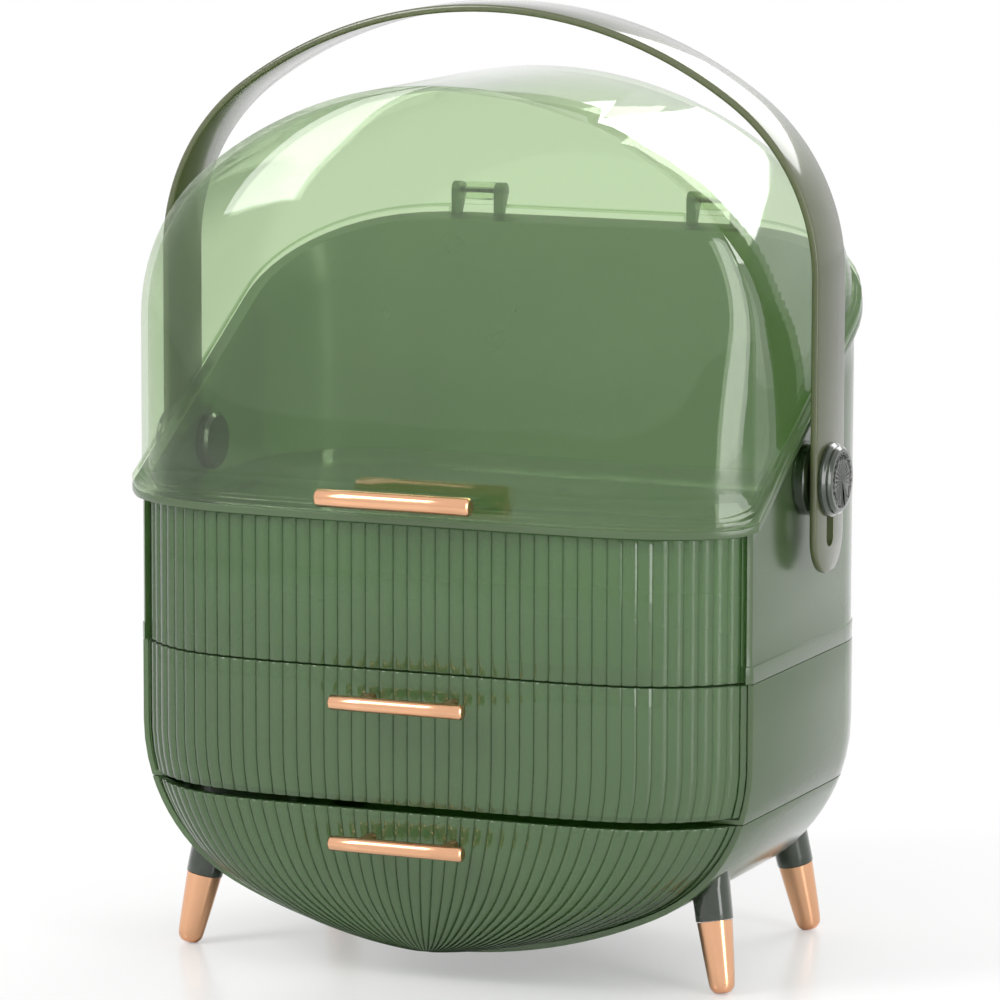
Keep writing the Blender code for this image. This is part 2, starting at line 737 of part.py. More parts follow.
def make_drawer(name, levels, inner_levels):
    """A tub with a reeded bowed front, set in from the shell by its wall and the running gap."""
    reeds = reeded_face()
    bare = plain_face()
    work = bmesh.new()
    outside = []
    for z in levels:
        outside.append([work.verts.new((x, y, z)) for x, y in section(z, DRAWER_INSET, reeds)])
    inside = []
    for z in inner_levels:
        points = section(z, DRAWER_INSET + TUB_WALL, bare, FACE_WALL)
        inside.append([work.verts.new((x, y, z)) for x, y in points])
    for lines in (outside, inside):
        for lower, upper in zip(lines, lines[1:]):
            bridge(work, lower, upper)
    rim_out, rim_in = outside[-1], inside[-1]
    reed_end, bare_end = len(reeds), len(bare)
    lace(work, rim_out[:reed_end], rim_in[:bare_end])
    out_back = rim_out[reed_end - 1 :] + rim_out[:1]
    in_back = rim_in[bare_end - 1 :] + rim_in[:1]
    for a, b, c, d in zip(out_back, out_back[1:], in_back[1:], in_back):
        work.faces.new((a, b, c, d))
    work.faces.new(inside[0])
    base = outside[0]
    foot = [base[0]]
    for share, groove in bare[1:-1]:
        left, right = base[0].co, base[reed_end - 1].co
        y = left.y - BOW_DEPTH * face_share(left.z) * (1 - abs(share) ** BOW_POWER) + FACE_WALL
        foot.append(work.verts.new((share * right.x, y, left.z)))
    foot.append(base[reed_end - 1])
    lace(work, base[:reed_end], foot)
    work.faces.new(list(reversed(foot + base[reed_end:])))
    return object_from(name, work, "smoke_green")


def make_bar(name, length, radius, centre, posts_to=None):
    """A grip bar along X with eased ends, and posts back to the face where it has them."""
    half = length / 2
    profile = [(radius - BAR_END_ROUND, 0), (radius, BAR_END_ROUND)]
    profile += [(radius, length - BAR_END_ROUND), (radius - BAR_END_ROUND, length)]
    start = (centre[0] - half, centre[1], centre[2])
    bar = turned(name, profile, (1, 0, 0), start, "rose_gold", ROD_STEPS)
    if posts_to is None:
        return bar
    for side in (-1, 1):
        base = (side * BAR_POST_SPACING / 2, centre[1], centre[2])
        reach = posts_to - centre[1]
        profile = [(BAR_POST_RADIUS, 0), (BAR_POST_RADIUS, reach)]
        add(bar, turned(f"{name}_post_{side}", profile, (0, 1, 0), base, steps=PIN_STEPS))
        hole = SCREW_SHANK_RADIUS + GAP
        profile = [(hole, 0), (hole, OVERRUN + SCREW_BITE + GAP)]
        base = (base[0], posts_to + OVERRUN, base[2])
        cut(bar, turned(f"{name}_tap_{side}", profile, (0, -1, 0), base, steps=PIN_STEPS))
    return bar


def fit_drawer_bar(drawer, name, seam):
    """Puts the bar in front of the drawer and holds it with two screws from inside."""
    z = seam - DRAWER_BAR_DROP
    post_end = FACE_Y - GAP
    centre = (0, FACE_Y - DRAWER_BAR_STANDOFF, z)
    make_bar(f"{name}_bar", DRAWER_BAR_LENGTH, DRAWER_BAR_RADIUS, centre, post_end)
    inside = FACE_Y + FACE_WALL
    for side, word in ((-1, "left"), (1, "right")):
        x = side * BAR_POST_SPACING / 2
        hole = SCREW_SHANK_RADIUS + GAP
        base = (x, inside + OVERRUN / 2, z)
        profile = [(hole, 0), (hole, OVERRUN)]
        cut(drawer, turned(f"{name}_hole_{word}", profile, (0, -1, 0), base, steps=PIN_STEPS))
        profile = [(SCREW_HEAD_RADIUS - SCREW_HEAD_CHAMFER, 0), (SCREW_HEAD_RADIUS, SCREW_HEAD_HEIGHT / 2)]
        profile += [(SCREW_HEAD_RADIUS, SCREW_HEAD_HEIGHT), (SCREW_SHANK_RADIUS, SCREW_HEAD_HEIGHT)]
        profile += [(SCREW_SHANK_RADIUS, SCREW_HEAD_HEIGHT + GAP + FACE_WALL + SCREW_BITE)]
        base = (x, inside + GAP + SCREW_HEAD_HEIGHT, z)
        turned(f"{name}_screw_{word}", profile, (0, -1, 0), base, "steel", PIN_STEPS)


# Lid


def make_lid():
    """The clear dome with its foot flange, lift tab and two hinge knuckles."""
    bare = plain_face()
    foot = rim(GAP)
    shelf = rim(GAP + FLANGE_THICKNESS)
    bead = rim(GAP + FLANGE_THICKNESS + FOOT_BEAD_HEIGHT)
    profile = [(foot, LID_WALL), (foot, -FLANGE_OUT), (shelf, -FLANGE_OUT)]
    profile += [(shelf, -FOOT_BEAD_OUT), (bead, -FOOT_BEAD_OUT), (bead, 0)]
    work = bmesh.new()
    lines = []
    for height, inset in profile:
        lines.append([work.verts.new(point) for point in ring(height, inset, inset, bare)])
    for lower, upper in zip(lines, lines[1:]):
        bridge(work, lower, upper)
    dome(work, lines[-1], bead, 0, 0, bare)
    dome(work, lines[0], foot, LID_WALL, LID_WALL, bare)
    body = object_from("lid", work, "clear_green")
    tab_z = RIM_HEIGHT + LID_BAR_RISE
    half = LID_TAB_WIDTH / 2
    tab_low = (-half, FACE_Y - LID_BAR_STANDOFF, tab_z - LID_TAB_THICKNESS / 2)
    tab_high = (half, FACE_Y + LID_WALL / 2, tab_z + LID_TAB_THICKNESS / 2)
    add(body, box("lid_tab", tab_low, tab_high))
    for side in (-1, 1):
        centre = hinge_centre(side)
        notch_half = HINGE_KNUCKLE_WIDTH / 2 + HINGE_EAR_WIDTH + 3 * HINGE_RUNNING_GAP
        low = (centre.x - notch_half, BACK_Y + GAP, rim(0)(BACK_Y) - OVERRUN)
        high = (centre.x + notch_half, BACK_Y + OVERRUN, rim(0)(BACK_Y) + OVERRUN)
        cut(body, box(f"hinge_notch_{side}", low, high))
        arc = [pi / 2 - pi * step / EAR_STEPS for step in range(EAR_STEPS + 1)]
        outline = [(HINGE_Y + HINGE_RADIUS * cos(a), centre.z + HINGE_RADIUS * sin(a)) for a in arc]
        root = BACK_Y - HINGE_ROOT
        outline += [(root, centre.z - HINGE_RADIUS), (root, centre.z + HINGE_RADIUS)]
        near = centre.x - HINGE_KNUCKLE_WIDTH / 2
        add(body, extruded_x(f"knuckle_{side}", outline, near, near + HINGE_KNUCKLE_WIDTH))
        cut(body, hinge_bore(side))
    bar_centre = (0, FACE_Y - LID_BAR_STANDOFF, tab_z)
    bar = make_bar("lid_bar", LID_BAR_LENGTH, LID_BAR_RADIUS, bar_centre)
    slot_half = half + GAP
    slot_low = (-slot_half, FACE_Y - LID_BAR_STANDOFF - GAP, tab_low[2] - GAP)
    slot_high = (slot_half, FACE_Y, tab_high[2] + GAP)
    cut(bar, box("lid_bar_slot", slot_low, slot_high))
    return body


def make_hinge_pins():
    for side, word in ((-1, "left"), (1, "right")):
        span = HINGE_KNUCKLE_WIDTH + 2 * (HINGE_EAR_WIDTH + HINGE_RUNNING_GAP)
        start = hinge_centre(side) - Vector((span / 2, 0, 0))
        profile = [(HINGE_PIN_RADIUS, 0), (HINGE_PIN_RADIUS, span)]
        turned(f"hinge_pin_{word}", profile, (1, 0, 0), start, "steel", PIN_STEPS)


def make_tray():
    """A shallow removable tray at rim height, over the whole well, resting on the two ledges."""
    bare = plain_face()
    floor = RIM_HEIGHT - TRAY_FLOOR_DROP
    brim = floor + TRAY_HEIGHT
    inset = SHELL_WALL + TRAY_SIDE_GAP
    face = FACE_WALL + GAP + TRAY_SIDE_GAP
    inner = [inset + TRAY_WALL, face + TRAY_WALL, bare]
    rings = [ring(level(z), inset, face, bare) for z in (floor, brim)]
    rings += [ring(level(z), *inner) for z in (brim, floor + TRAY_WALL)]
    return through_rings("top_tray", rings, "clear_green")


# Handle


def arch_path():
    """Centre line of the strap in the front view, from the right tail over the crown to the left."""
    shoulder_x = STRAP_HALF_SPAN - STRAP_SHOULDER_RADIUS
    crown_z = STRAP_TOP - STRAP_CROWN_RADIUS
    shoulder_z = crown_z + sqrt((STRAP_CROWN_RADIUS - STRAP_SHOULDER_RADIUS) ** 2 - shoulder_x**2)
    meet = atan2(shoulder_z - crown_z, shoulder_x)
    right = [(STRAP_HALF_SPAN, PIVOT_HEIGHT - STRAP_TAIL)]
    for step in range(STRAP_STEPS + 1):
        across = STRAP_SHOULDER_RADIUS * cos(meet * step / STRAP_STEPS)
        climb = STRAP_SHOULDER_RADIUS * sin(meet * step / STRAP_STEPS)
        right.append((shoulder_x + across, shoulder_z + climb))
    for step in range(1, STRAP_STEPS + 1):
        angle = meet + (pi / 2 - meet) * step / STRAP_STEPS
        right.append((STRAP_CROWN_RADIUS * cos(angle), crown_z + STRAP_CROWN_RADIUS * sin(angle)))
    return right + [(-x, z) for x, z in reversed(right[:-1])]


def make_strap():
    """The handle: one flat strap bent over the lid, with a round slotted tail at each side."""
    path = arch_path()
    half_thick = STRAP_THICKNESS / 2
    half_wide = STRAP_WIDTH / 2
    ease = STRAP_EDGE_ROUND
    ring = [(-half_thick, -half_wide + ease), (-half_thick + ease, -half_wide)]
    ring += [(half_thick - ease, -half_wide), (half_thick, -half_wide + ease)]
    ring += [(n, -y) for n, y in reversed(ring)]
    work = bmesh.new()
    rings = []
    for index, (x, z) in enumerate(path):
        before = Vector(path[max(index - 1, 0)])
        after = Vector(path[min(index + 1, len(path) - 1)])
        here = Vector((x, z))
        first = (here - before).normalized() if index else (after - here).normalized()
        second = (after - here).normalized() if index < len(path) - 1 else first
        along = (first + second).normalized()
        outward = Vector((along.y, -along.x)) / along.dot(first)
        rings.append([work.verts.new((x + outward.x * n, y, z + outward.y * n)) for n, y in ring])
    for lower, upper in zip(rings, rings[1:]):
        for i in range(len(ring)):
            j = (i + 1) % len(ring)
            work.faces.new((lower[i], lower[j], upper[j], upper[i]))
    work.faces.new(list(reversed(rings[0])))
    work.faces.new(rings[-1])
    strap = object_from("handle_strap", work, "olive_strap")
    reach = STRAP_HALF_SPAN + OVERRUN
    tail_centre = PIVOT_HEIGHT - STRAP_TAIL + half_wide
    tail_round = stadium(STRAP_TOP + OVERRUN, tail_centre, half_wide, ROUND_STEPS)
    keep(strap, extruded_x("strap_outline", tail_round, -reach, reach))
    slot = stadium(PIVOT_HEIGHT, PIVOT_HEIGHT - HANDLE_LIFT, PIN_RADIUS + PIN_CLEARANCE)
    return cut(strap, extruded_x("strap_slot", slot, -reach, reach))


def make_pivots():
    """On each side a boss on the shell, the pin through it, the cap outside and the cover inside."""
    inner_face = STRAP_HALF_SPAN - STRAP_THICKNESS / 2
    outer_face = STRAP_HALF_SPAN + STRAP_THICKNESS / 2
    wall_outside = HALF_WIDTH - SKIRT_STEP
    wall_inside = HALF_WIDTH - SHELL_WALL
    for side, word in ((-1, "left"), (1, "right")):
        axis = (side, 0, 0)
        boss_height = inner_face - wall_outside - GAP - STRAP_RUNNING_GAP
        profile = [(BOSS_RADIUS, 0), (BOSS_RADIUS, boss_height - BOSS_TAPER)]
        profile += [(BOSS_RADIUS - BOSS_TAPER, boss_height)]
        base = (side * (wall_outside + GAP), 0, PIVOT_HEIGHT)
        boss = turned(f"pivot_boss_{word}", profile, axis, base, "gloss_green")
        cut(boss, pivot_bore(side))
        pin_start = wall_inside - INNER_SOCKET_DEPTH
        pin_length = outer_face + GAP + CAP_SOCKET_DEPTH - pin_start
        pin_base = (side * pin_start, 0, PIVOT_HEIGHT)
        profile = [(PIN_RADIUS, 0), (PIN_RADIUS, pin_length)]
        turned(f"pivot_pin_{word}", profile, axis, pin_base, "steel", SMALL_ROUND_STEPS)
        cap_base = (side * (outer_face + GAP), 0, PIVOT_HEIGHT)
        dish = CAP_RADIUS - CAP_RING_WIDTH
        profile = [(CAP_RADIUS + CAP_COLLAR_OUT, 0), (CAP_RADIUS + CAP_COLLAR_OUT, CAP_COLLAR_HEIGHT)]
        profile += [(CAP_RADIUS, CAP_COLLAR_HEIGHT + CAP_COLLAR_OUT)]
        profile += [(CAP_RADIUS, CAP_THICKNESS - CAP_COLLAR_OUT)]
        profile += [(CAP_RADIUS - CAP_COLLAR_OUT, CAP_THICKNESS), (dish, CAP_THICKNESS)]
        profile += [(dish - CAP_DISH_DEPTH, CAP_THICKNESS - CAP_DISH_DEPTH)]
        cap = turned(f"pivot_cap_{word}", profile, axis, cap_base, "gloss_green")
        hole = PIN_RADIUS + PIN_CLEARANCE
        socket = [(hole, 0), (hole, OVERRUN + GAP + CAP_SOCKET_DEPTH)]
        socket_base = (side * (outer_face - OVERRUN + GAP), 0, PIVOT_HEIGHT)
        bore = turned(f"cap_socket_{word}", socket, axis, socket_base, steps=SMALL_ROUND_STEPS)
        cut(cap, bore)
        cover_base = (side * (wall_inside - GAP), 0, PIVOT_HEIGHT)
        profile = [(INNER_COVER_RADIUS, 0), (INNER_COVER_RADIUS, INNER_COVER_HEIGHT - INNER_COVER_ROUND)]
        profile += [(INNER_COVER_RADIUS - INNER_COVER_ROUND, INNER_COVER_HEIGHT)]
        cover = turned(f"pivot_cover_{word}", profile, (-side, 0, 0), cover_base, "gloss_green")
        well = [(hole, 0), (hole, OVERRUN + INNER_SOCKET_DEPTH + GAP)]
        well_base = (side * (wall_inside + OVERRUN), 0, PIVOT_HEIGHT)
        bore = turned(f"cover_socket_{word}", well, (-side, 0, 0), well_base, steps=SMALL_ROUND_STEPS)
        cut(cover, bore)


# Legs


def make_legs(clearance_solid):
    """Four splayed legs: a dark cone cut to the bowl above, a plated ferrule with a round tip below."""
    front_x = HALF_WIDTH - FRONT_FOOT_INSET
    rear_x = HALF_WIDTH - REAR_FOOT_INSET
    corners = {
        "front_left": (-front_x, FRONT_Y + FRONT_FOOT_SETBACK, 1),
        "front_right": (front_x, FRONT_Y + FRONT_FOOT_SETBACK, 1),
        "rear_left": (-rear_x, BACK_Y - REAR_FOOT_SETBACK, -1),
        "rear_right": (rear_x, BACK_Y - REAR_FOOT_SETBACK, -1),
    }
    for word, (x, y, back) in corners.items():
        inward = -1 if x > 0 else 1
        lean = Vector((inward * LEG_LEAN_SIDE, back * LEG_LEAN_DEPTH, LEG_SPLIT_HEIGHT))
        axis = lean.normalized()
        split = lean.length
        tip = Vector((x, y, 0))
        profile = []
        for step in range(TIP_STEPS + 1):
            angle = pi / 2 * step / TIP_STEPS
            radius = LEG_TIP_RADIUS - LEG_TIP_ROUND * (1 - sin(angle))
            profile.append((radius, LEG_TIP_ROUND * (1 - cos(angle))))
        profile.append((LEG_SPLIT_RADIUS, split - GAP))
        foot = turned(f"foot_{word}", profile, axis, tip, "rose_gold", ROD_STEPS)
        lowest = min((foot.matrix_basis @ vertex.co).z for vertex in foot.data.vertices)
        foot.location.z -= lowest
        base = tip + axis * split - Vector((0, 0, lowest))
        profile = [(LEG_SPLIT_RADIUS + LEG_FERRULE_STEP, 0), (LEG_TOP_RADIUS, LEG_REACH - split)]
        cut(turned(f"leg_{word}", profile, axis, base, "gloss_green", ROD_STEPS), clearance_solid)


def make_case():
    clear_scene()
    make_upper_housing()
    make_front_panel()
    make_middle_housing()
    make_lower_housing()
    make_tray()
    low = LOW_SEAM + FLOOR_THICKNESS + GAP
    high = MID_SEAM - GAP
    inner_inset = DRAWER_INSET + TUB_WALL
    inner_levels = levels_between(low + TUB_WALL, high, inner_inset)
    upper = make_drawer("upper_drawer", levels_between(low, high, DRAWER_INSET), inner_levels)
    fit_drawer_bar(upper, "upper_drawer", MID_SEAM)
    lower = make_drawer("lower_drawer", bowl_levels(DRAWER_INSET), bowl_levels(inner_inset))
    fit_drawer_bar(lower, "lower_drawer", LOW_SEAM)
    make_lid()
    make_hinge_pins()
    make_strap()
    make_pivots()
    make_legs(loft("bowl_clearance", bowl_levels(-GAP) + [MID_SEAM], -GAP, front_y=FACE_Y))


make_case()
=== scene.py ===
# %% [markdown]
# # A clear-domed makeup case
#
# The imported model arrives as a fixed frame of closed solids, one for each moulded or turned piece.
# This file dresses it. The large mouldings are drawn again with many more sections of the same form,
# the small ones are rounded copies, and every piece gets its plastic or metal. The case then stands on
# a pale floor in soft light, seen from where the photograph was taken.

# %% Load the frame
import json
from math import asin, atan2, cos, hypot, pi, radians, sin, sqrt

import bpy
from mathutils import Matrix, Vector


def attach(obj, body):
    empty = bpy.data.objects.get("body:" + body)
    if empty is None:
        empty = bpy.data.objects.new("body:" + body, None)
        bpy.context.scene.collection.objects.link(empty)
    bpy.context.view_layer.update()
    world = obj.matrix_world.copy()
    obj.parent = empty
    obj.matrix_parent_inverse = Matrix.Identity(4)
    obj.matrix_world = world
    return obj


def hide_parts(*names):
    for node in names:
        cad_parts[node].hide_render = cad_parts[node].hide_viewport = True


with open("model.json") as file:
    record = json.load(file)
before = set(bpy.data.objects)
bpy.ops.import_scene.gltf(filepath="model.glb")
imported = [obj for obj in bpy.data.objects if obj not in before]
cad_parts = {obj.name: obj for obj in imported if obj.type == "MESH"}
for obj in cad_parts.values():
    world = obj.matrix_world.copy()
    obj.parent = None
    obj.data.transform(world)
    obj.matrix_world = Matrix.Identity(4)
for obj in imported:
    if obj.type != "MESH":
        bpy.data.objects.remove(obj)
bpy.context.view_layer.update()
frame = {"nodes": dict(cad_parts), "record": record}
slot_of = {entry["node"]: entry["material_slot"] for entry in frame["record"]["subparts"]}
bodies = frame["record"]["behaviour"]["bodies"]
body_of = {node: body for body, members in bodies.items() for node in members}

# %% [markdown]
# ## The camera
#
# The photograph was taken from the front right, a little above the case and from far off with a long
# lens, because its upright edges stay almost parallel. The numbers come from fitting a camera to the
# seams, the dome's edge and the feet.

# %% Set up the camera
VIEW_TURN = radians(23.02)
VIEW_RISE = radians(8.64)
VIEW_ROLL = radians(0.14)
VIEW_DISTANCE = 2.9583
VIEW_TARGET = Vector((-0.00578, 0.0158, 0.20566))
LENS_MM = 231.06
SENSOR_MM = 36.0


def add_camera():
    data = bpy.data.cameras.new("view_camera")
    data.sensor_width = SENSOR_MM
    data.lens = LENS_MM
    camera = bpy.data.objects.new("view_camera", data)
    bpy.context.scene.collection.objects.link(camera)
    away = Vector((sin(VIEW_TURN) * cos(VIEW_RISE), -cos(VIEW_TURN) * cos(VIEW_RISE), sin(VIEW_RISE)))
    turn = Matrix.Rotation(VIEW_TURN, 4, "Z") @ Matrix.Rotation(pi / 2 - VIEW_RISE, 4, "X")
    place = Matrix.Translation(VIEW_TARGET + away * VIEW_DISTANCE)
    camera.matrix_world = place @ turn @ Matrix.Rotation(VIEW_ROLL, 4, "Z")
    bpy.context.scene.camera = camera
    return camera


print("camera at", [round(value, 3) for value in add_camera().matrix_world.translation])

# %% [markdown]
# ## Small tools for materials
#
# A shader is easiest to read as a sum or a product of patterns. The class below holds one output
# socket of a node and lets Python's own signs build the Math nodes, so that a formula in the code
# looks like the formula that it draws.

# %% A socket that can be added and multiplied
# Places of the two colours among a Mix node's inputs, and of the mixed colour among its outputs.
MIX_FIRST = 6
MIX_SECOND = 7
MIX_RESULT = 2


class Field:
    """One number or colour that changes over a surface."""

    def __init__(self, recipe, socket):
        self.recipe = recipe
        self.socket = socket

    def math(self, operation, *values):
        return self.recipe.node("ShaderNodeMath", {"operation": operation}, dict(enumerate(values)))

    def __add__(self, other):
        return self.math("ADD", self, other)

    def __radd__(self, other):
        return self.math("ADD", other, self)

    def __sub__(self, other):
        return self.math("SUBTRACT", self, other)

    def __rsub__(self, other):
        return self.math("SUBTRACT", other, self)

    def __mul__(self, other):
        return self.math("MULTIPLY", self, other)

    def __rmul__(self, other):
        return self.math("MULTIPLY", other, self)

    def __pow__(self, other):
        return self.math("POWER", self, other)


class Recipe:
    """One material, as nodes that are added by type, settings and inputs."""

    def __init__(self, name):
        self.material = bpy.data.materials.new(name)
        self.material.use_nodes = True
        self.tree = self.material.node_tree
        self.tree.nodes.clear()

    def node(self, kind, settings, inputs, output=0):
        made = self.tree.nodes.new(kind)
        for key, value in settings.items():
            setattr(made, key, value)
        for key, value in inputs.items():
            if isinstance(value, Field):
                self.tree.links.new(value.socket, made.inputs[key])
            else:
                made.inputs[key].default_value = value
        return Field(self, made.outputs[output])

    def place(self):
        return self.node("ShaderNodeTexCoord", {}, {}, "Object")

    def noise(self, scale, detail=2.0):
        inputs = {"Vector": self.place(), "Scale": scale, "Detail": detail}
        return self.node("ShaderNodeTexNoise", {}, inputs, "Fac")

    def blend(self, share, first, second):
        inputs = {0: share, MIX_FIRST: first, MIX_SECOND: second}
        return self.node("ShaderNodeMix", {"data_type": "RGBA"}, inputs, MIX_RESULT)

    def bump(self, height, strength, distance):
        inputs = {"Height": height, "Strength": strength, "Distance": distance}
        return self.node("ShaderNodeBump", {}, inputs)

    def over(self, share, below, above):
        return self.node("ShaderNodeMixShader", {}, {0: share, 1: below, 2: above})

    def finish(self, shader):
        output = self.tree.nodes.new("ShaderNodeOutputMaterial")
        self.tree.links.new(shader.socket, output.inputs["Surface"])
        return self.material


def screen(red, green, blue):
    """A colour as it is read off a screen, in the linear values that a shader takes."""
    linear = []
    for value in (red, green, blue):
        share = value / 255
        linear.append(share / 12.92 if share <= 0.04045 else ((share + 0.055) / 1.055) ** 2.4)
    return (*linear, 1.0)


def tinted(colour, factor):
    return (*(value * factor for value in colour[:3]), 1.0)


print("material tools ready")

# %% [markdown]
# ## The floor
#
# The case stands on a pale sheet that runs on into a white background. Near the case the sheet is
# slightly glossy and keeps the soft shadow. Farther off it fades to plain white for the camera, so
# that no line shows where the floor ends.

# %% Pale floor
WHITE = (1, 1, 1, 1)
FLOOR_SIZE = 12.0
FLOOR_TONES = ((0.96, 0.96, 0.96, 1), (0.98, 0.98, 0.98, 1))
FLOOR_CLOUDS = 3.0
FLOOR_ROUGHNESS = 0.25
FADE_START = 0.18
FADE_END = 0.75
FADE_LEAST = 0.35


def floor_material():
    """Pale and faintly glossy round the case, and plain white for the camera farther off."""
    recipe = Recipe("pale_floor")
    colour = recipe.blend(recipe.noise(FLOOR_CLOUDS), *FLOOR_TONES)
    inputs = {"Base Color": colour, "Roughness": FLOOR_ROUGHNESS}
    shader = recipe.node("ShaderNodeBsdfPrincipled", {}, inputs)
    away = recipe.node("ShaderNodeVectorMath", {"operation": "LENGTH"}, {0: recipe.place()}, "Value")
    reach = {
        "Value": away,
        "From Min": FADE_START,
        "From Max": FADE_END,
        "To Min": FADE_LEAST,
        "To Max": 1.0,
    }
    fade = recipe.node("ShaderNodeMapRange", {"interpolation_type": "SMOOTHSTEP"}, reach)
    seen = recipe.node("ShaderNodeLightPath", {}, {}, "Is Camera Ray")
    white = recipe.node("ShaderNodeEmission", {}, {"Color": WHITE, "Strength": 1.0})
    return recipe.finish(recipe.over(fade * seen, shader, white))


bpy.ops.object.select_all(action="DESELECT")
bpy.ops.mesh.primitive_plane_add(size=FLOOR_SIZE)
floor = bpy.context.active_object
floor.name = "floor"
floor.data.materials.append(floor_material())
print("floor laid")

# %% [markdown]
# ## World and lamps
#
# A studio shot on white has soft light from all sides. The world is white where the camera, a mirror
# or clear plastic looks at it, and dimmer as a source of light, so that colours stay as they are
# written. Three rectangular lamps add direction: a large one at the front left, a tall narrow one at
# the right, and one behind, so that light also comes through the clear dome.

# %% World and lamps
WORLD_LIGHT = 0.66
SEEN_WHITE = 1.0


def white_world():
    """White to look at, and WORLD_LIGHT strong as a source of light."""
    world = bpy.data.worlds.new("white_world")
    bpy.context.scene.world = world
    world.use_nodes = True
    nodes = world.node_tree.nodes
    links = world.node_tree.links
    nodes.clear()
    path = nodes.new("ShaderNodeLightPath")
    looked = nodes.new("ShaderNodeMath")
    looked.operation = "MAXIMUM"
    links.new(path.outputs["Is Camera Ray"], looked.inputs[0])
    links.new(path.outputs["Is Transmission Ray"], looked.inputs[1])
    mirrored = nodes.new("ShaderNodeMath")
    mirrored.operation = "MAXIMUM"
    links.new(looked.outputs[0], mirrored.inputs[0])
    links.new(path.outputs["Is Glossy Ray"], mirrored.inputs[1])
    strength = nodes.new("ShaderNodeMath")
    strength.operation = "MULTIPLY_ADD"
    strength.inputs[1].default_value = SEEN_WHITE - WORLD_LIGHT
    strength.inputs[2].default_value = WORLD_LIGHT
    links.new(mirrored.outputs[0], strength.inputs[0])
    background = nodes.new("ShaderNodeBackground")
    background.inputs["Color"].default_value = WHITE
    links.new(strength.outputs[0], background.inputs["Strength"])
    output = nodes.new("ShaderNodeOutputWorld")
    links.new(background.outputs[0], output.inputs["Surface"])


def add_lamp(name, place, target, size, power):
    """A rectangular lamp at a place, turned to its target, its power in watts."""
    data = bpy.data.lights.new(name, "AREA")
    data.shape = "RECTANGLE"
    data.size, data.size_y = size
    data.energy = power
    lamp = bpy.data.objects.new(name, data)
    bpy.context.scene.collection.objects.link(lamp)
    aim = (Vector(target) - Vector(place)).to_track_quat("-Z", "Y")
    lamp.matrix_world = Matrix.Translation(place) @ aim.to_matrix().to_4x4()
    return lamp


white_world()
bpy.context.scene.view_settings.view_transform = "Standard"
lamps = [
    add_lamp("key_softbox", place=(-1.3, -1.5, 1.6), target=(0, 0, 0.2), size=(0.9, 1.2), power=26),
    add_lamp("side_softbox", place=(1.7, -0.7, 0.7), target=(0, 0, 0.2), size=(0.5, 1.6), power=11),
    add_lamp("rear_softbox", place=(0.3, 1.6, 1.3), target=(0, 0, 0.3), size=(1.2, 0.8), power=14),
]
print(len(lamps), "lamps")

# %% [markdown]
# ## Green plastics
#
# The dome, the drawers, the strap and the shell are all green plastic, but each lets through a
# different share of light. A thin wall is drawn as a tinted veil, some plastic that scatters light,
# and a mirror over both. The veil colours what is behind. Towards a glancing angle the veil and the
# body colour darken. This is partly the deeper tint of a longer path through the plastic, and partly
# painted shade in the reeds' grooves and on walls turned from the camera. The mirror grows strong only
# at a glancing angle, and on both sides of the wall alike, since light passes a thin wall straight.

# %% See-through green plastics
FACE_ON_MIRROR = 0.04
GLANCE_POWER = 5.0
EVEN_BLEND = 0.5
BODY_CLOUDS = 30.0
BODY_SHADE = 0.85
GLANCE_TINT_AND_PAINTED_SHADE = 0.12
BODY_ROUGHNESS = 0.35
RIPPLE_SCALE = 18.0
RIPPLE_DETAIL = 1.0
RIPPLE_HEIGHT = 0.002


def clear_plastic(name, face_on, glance_tint_and_painted_shade, edge_power, body_share, body_colour, gloss, ripple=0.0):
    """A thin tinted wall: a veil and body that darken at its edges (deeper tint and painted shade), and a
    gloss.
    """
    recipe = Recipe(name)
    facing = recipe.node("ShaderNodeLayerWeight", {}, {"Blend": EVEN_BLEND}, "Facing")
    veil = recipe.node("ShaderNodeBsdfTransparent", {}, {"Color": face_on})
    # The veil darkens towards glancing angles: a deeper tint through more plastic, and painted shade in
    # the grooves.
    deep = recipe.node("ShaderNodeBsdfTransparent", {}, {"Color": glance_tint_and_painted_shade})
    wall = recipe.over(facing**edge_power, veil, deep)
    tone = recipe.blend(recipe.noise(BODY_CLOUDS), body_colour, tinted(body_colour, BODY_SHADE))
    # The body colour darkens at glancing angles: partly a deeper tint, partly painted shade on groove
    # flanks and walls turned away.
    tone = recipe.blend(facing**edge_power, tone, tinted(body_colour, GLANCE_TINT_AND_PAINTED_SHADE))
    body_inputs = {"Base Color": tone, "Roughness": BODY_ROUGHNESS}
    wall = recipe.over(body_share, wall, recipe.node("ShaderNodeBsdfPrincipled", {}, body_inputs))
    gloss_inputs = {"Color": WHITE, "Roughness": gloss}
    if ripple:
        waves = recipe.noise(RIPPLE_SCALE, RIPPLE_DETAIL)
        gloss_inputs["Normal"] = recipe.bump(waves, ripple, RIPPLE_HEIGHT)
    shine = recipe.node("ShaderNodeBsdfAnisotropic", {}, gloss_inputs)
    mirror = FACE_ON_MIRROR + (1 - FACE_ON_MIRROR) * facing**GLANCE_POWER
    return recipe.finish(recipe.over(mirror, wall, shine))


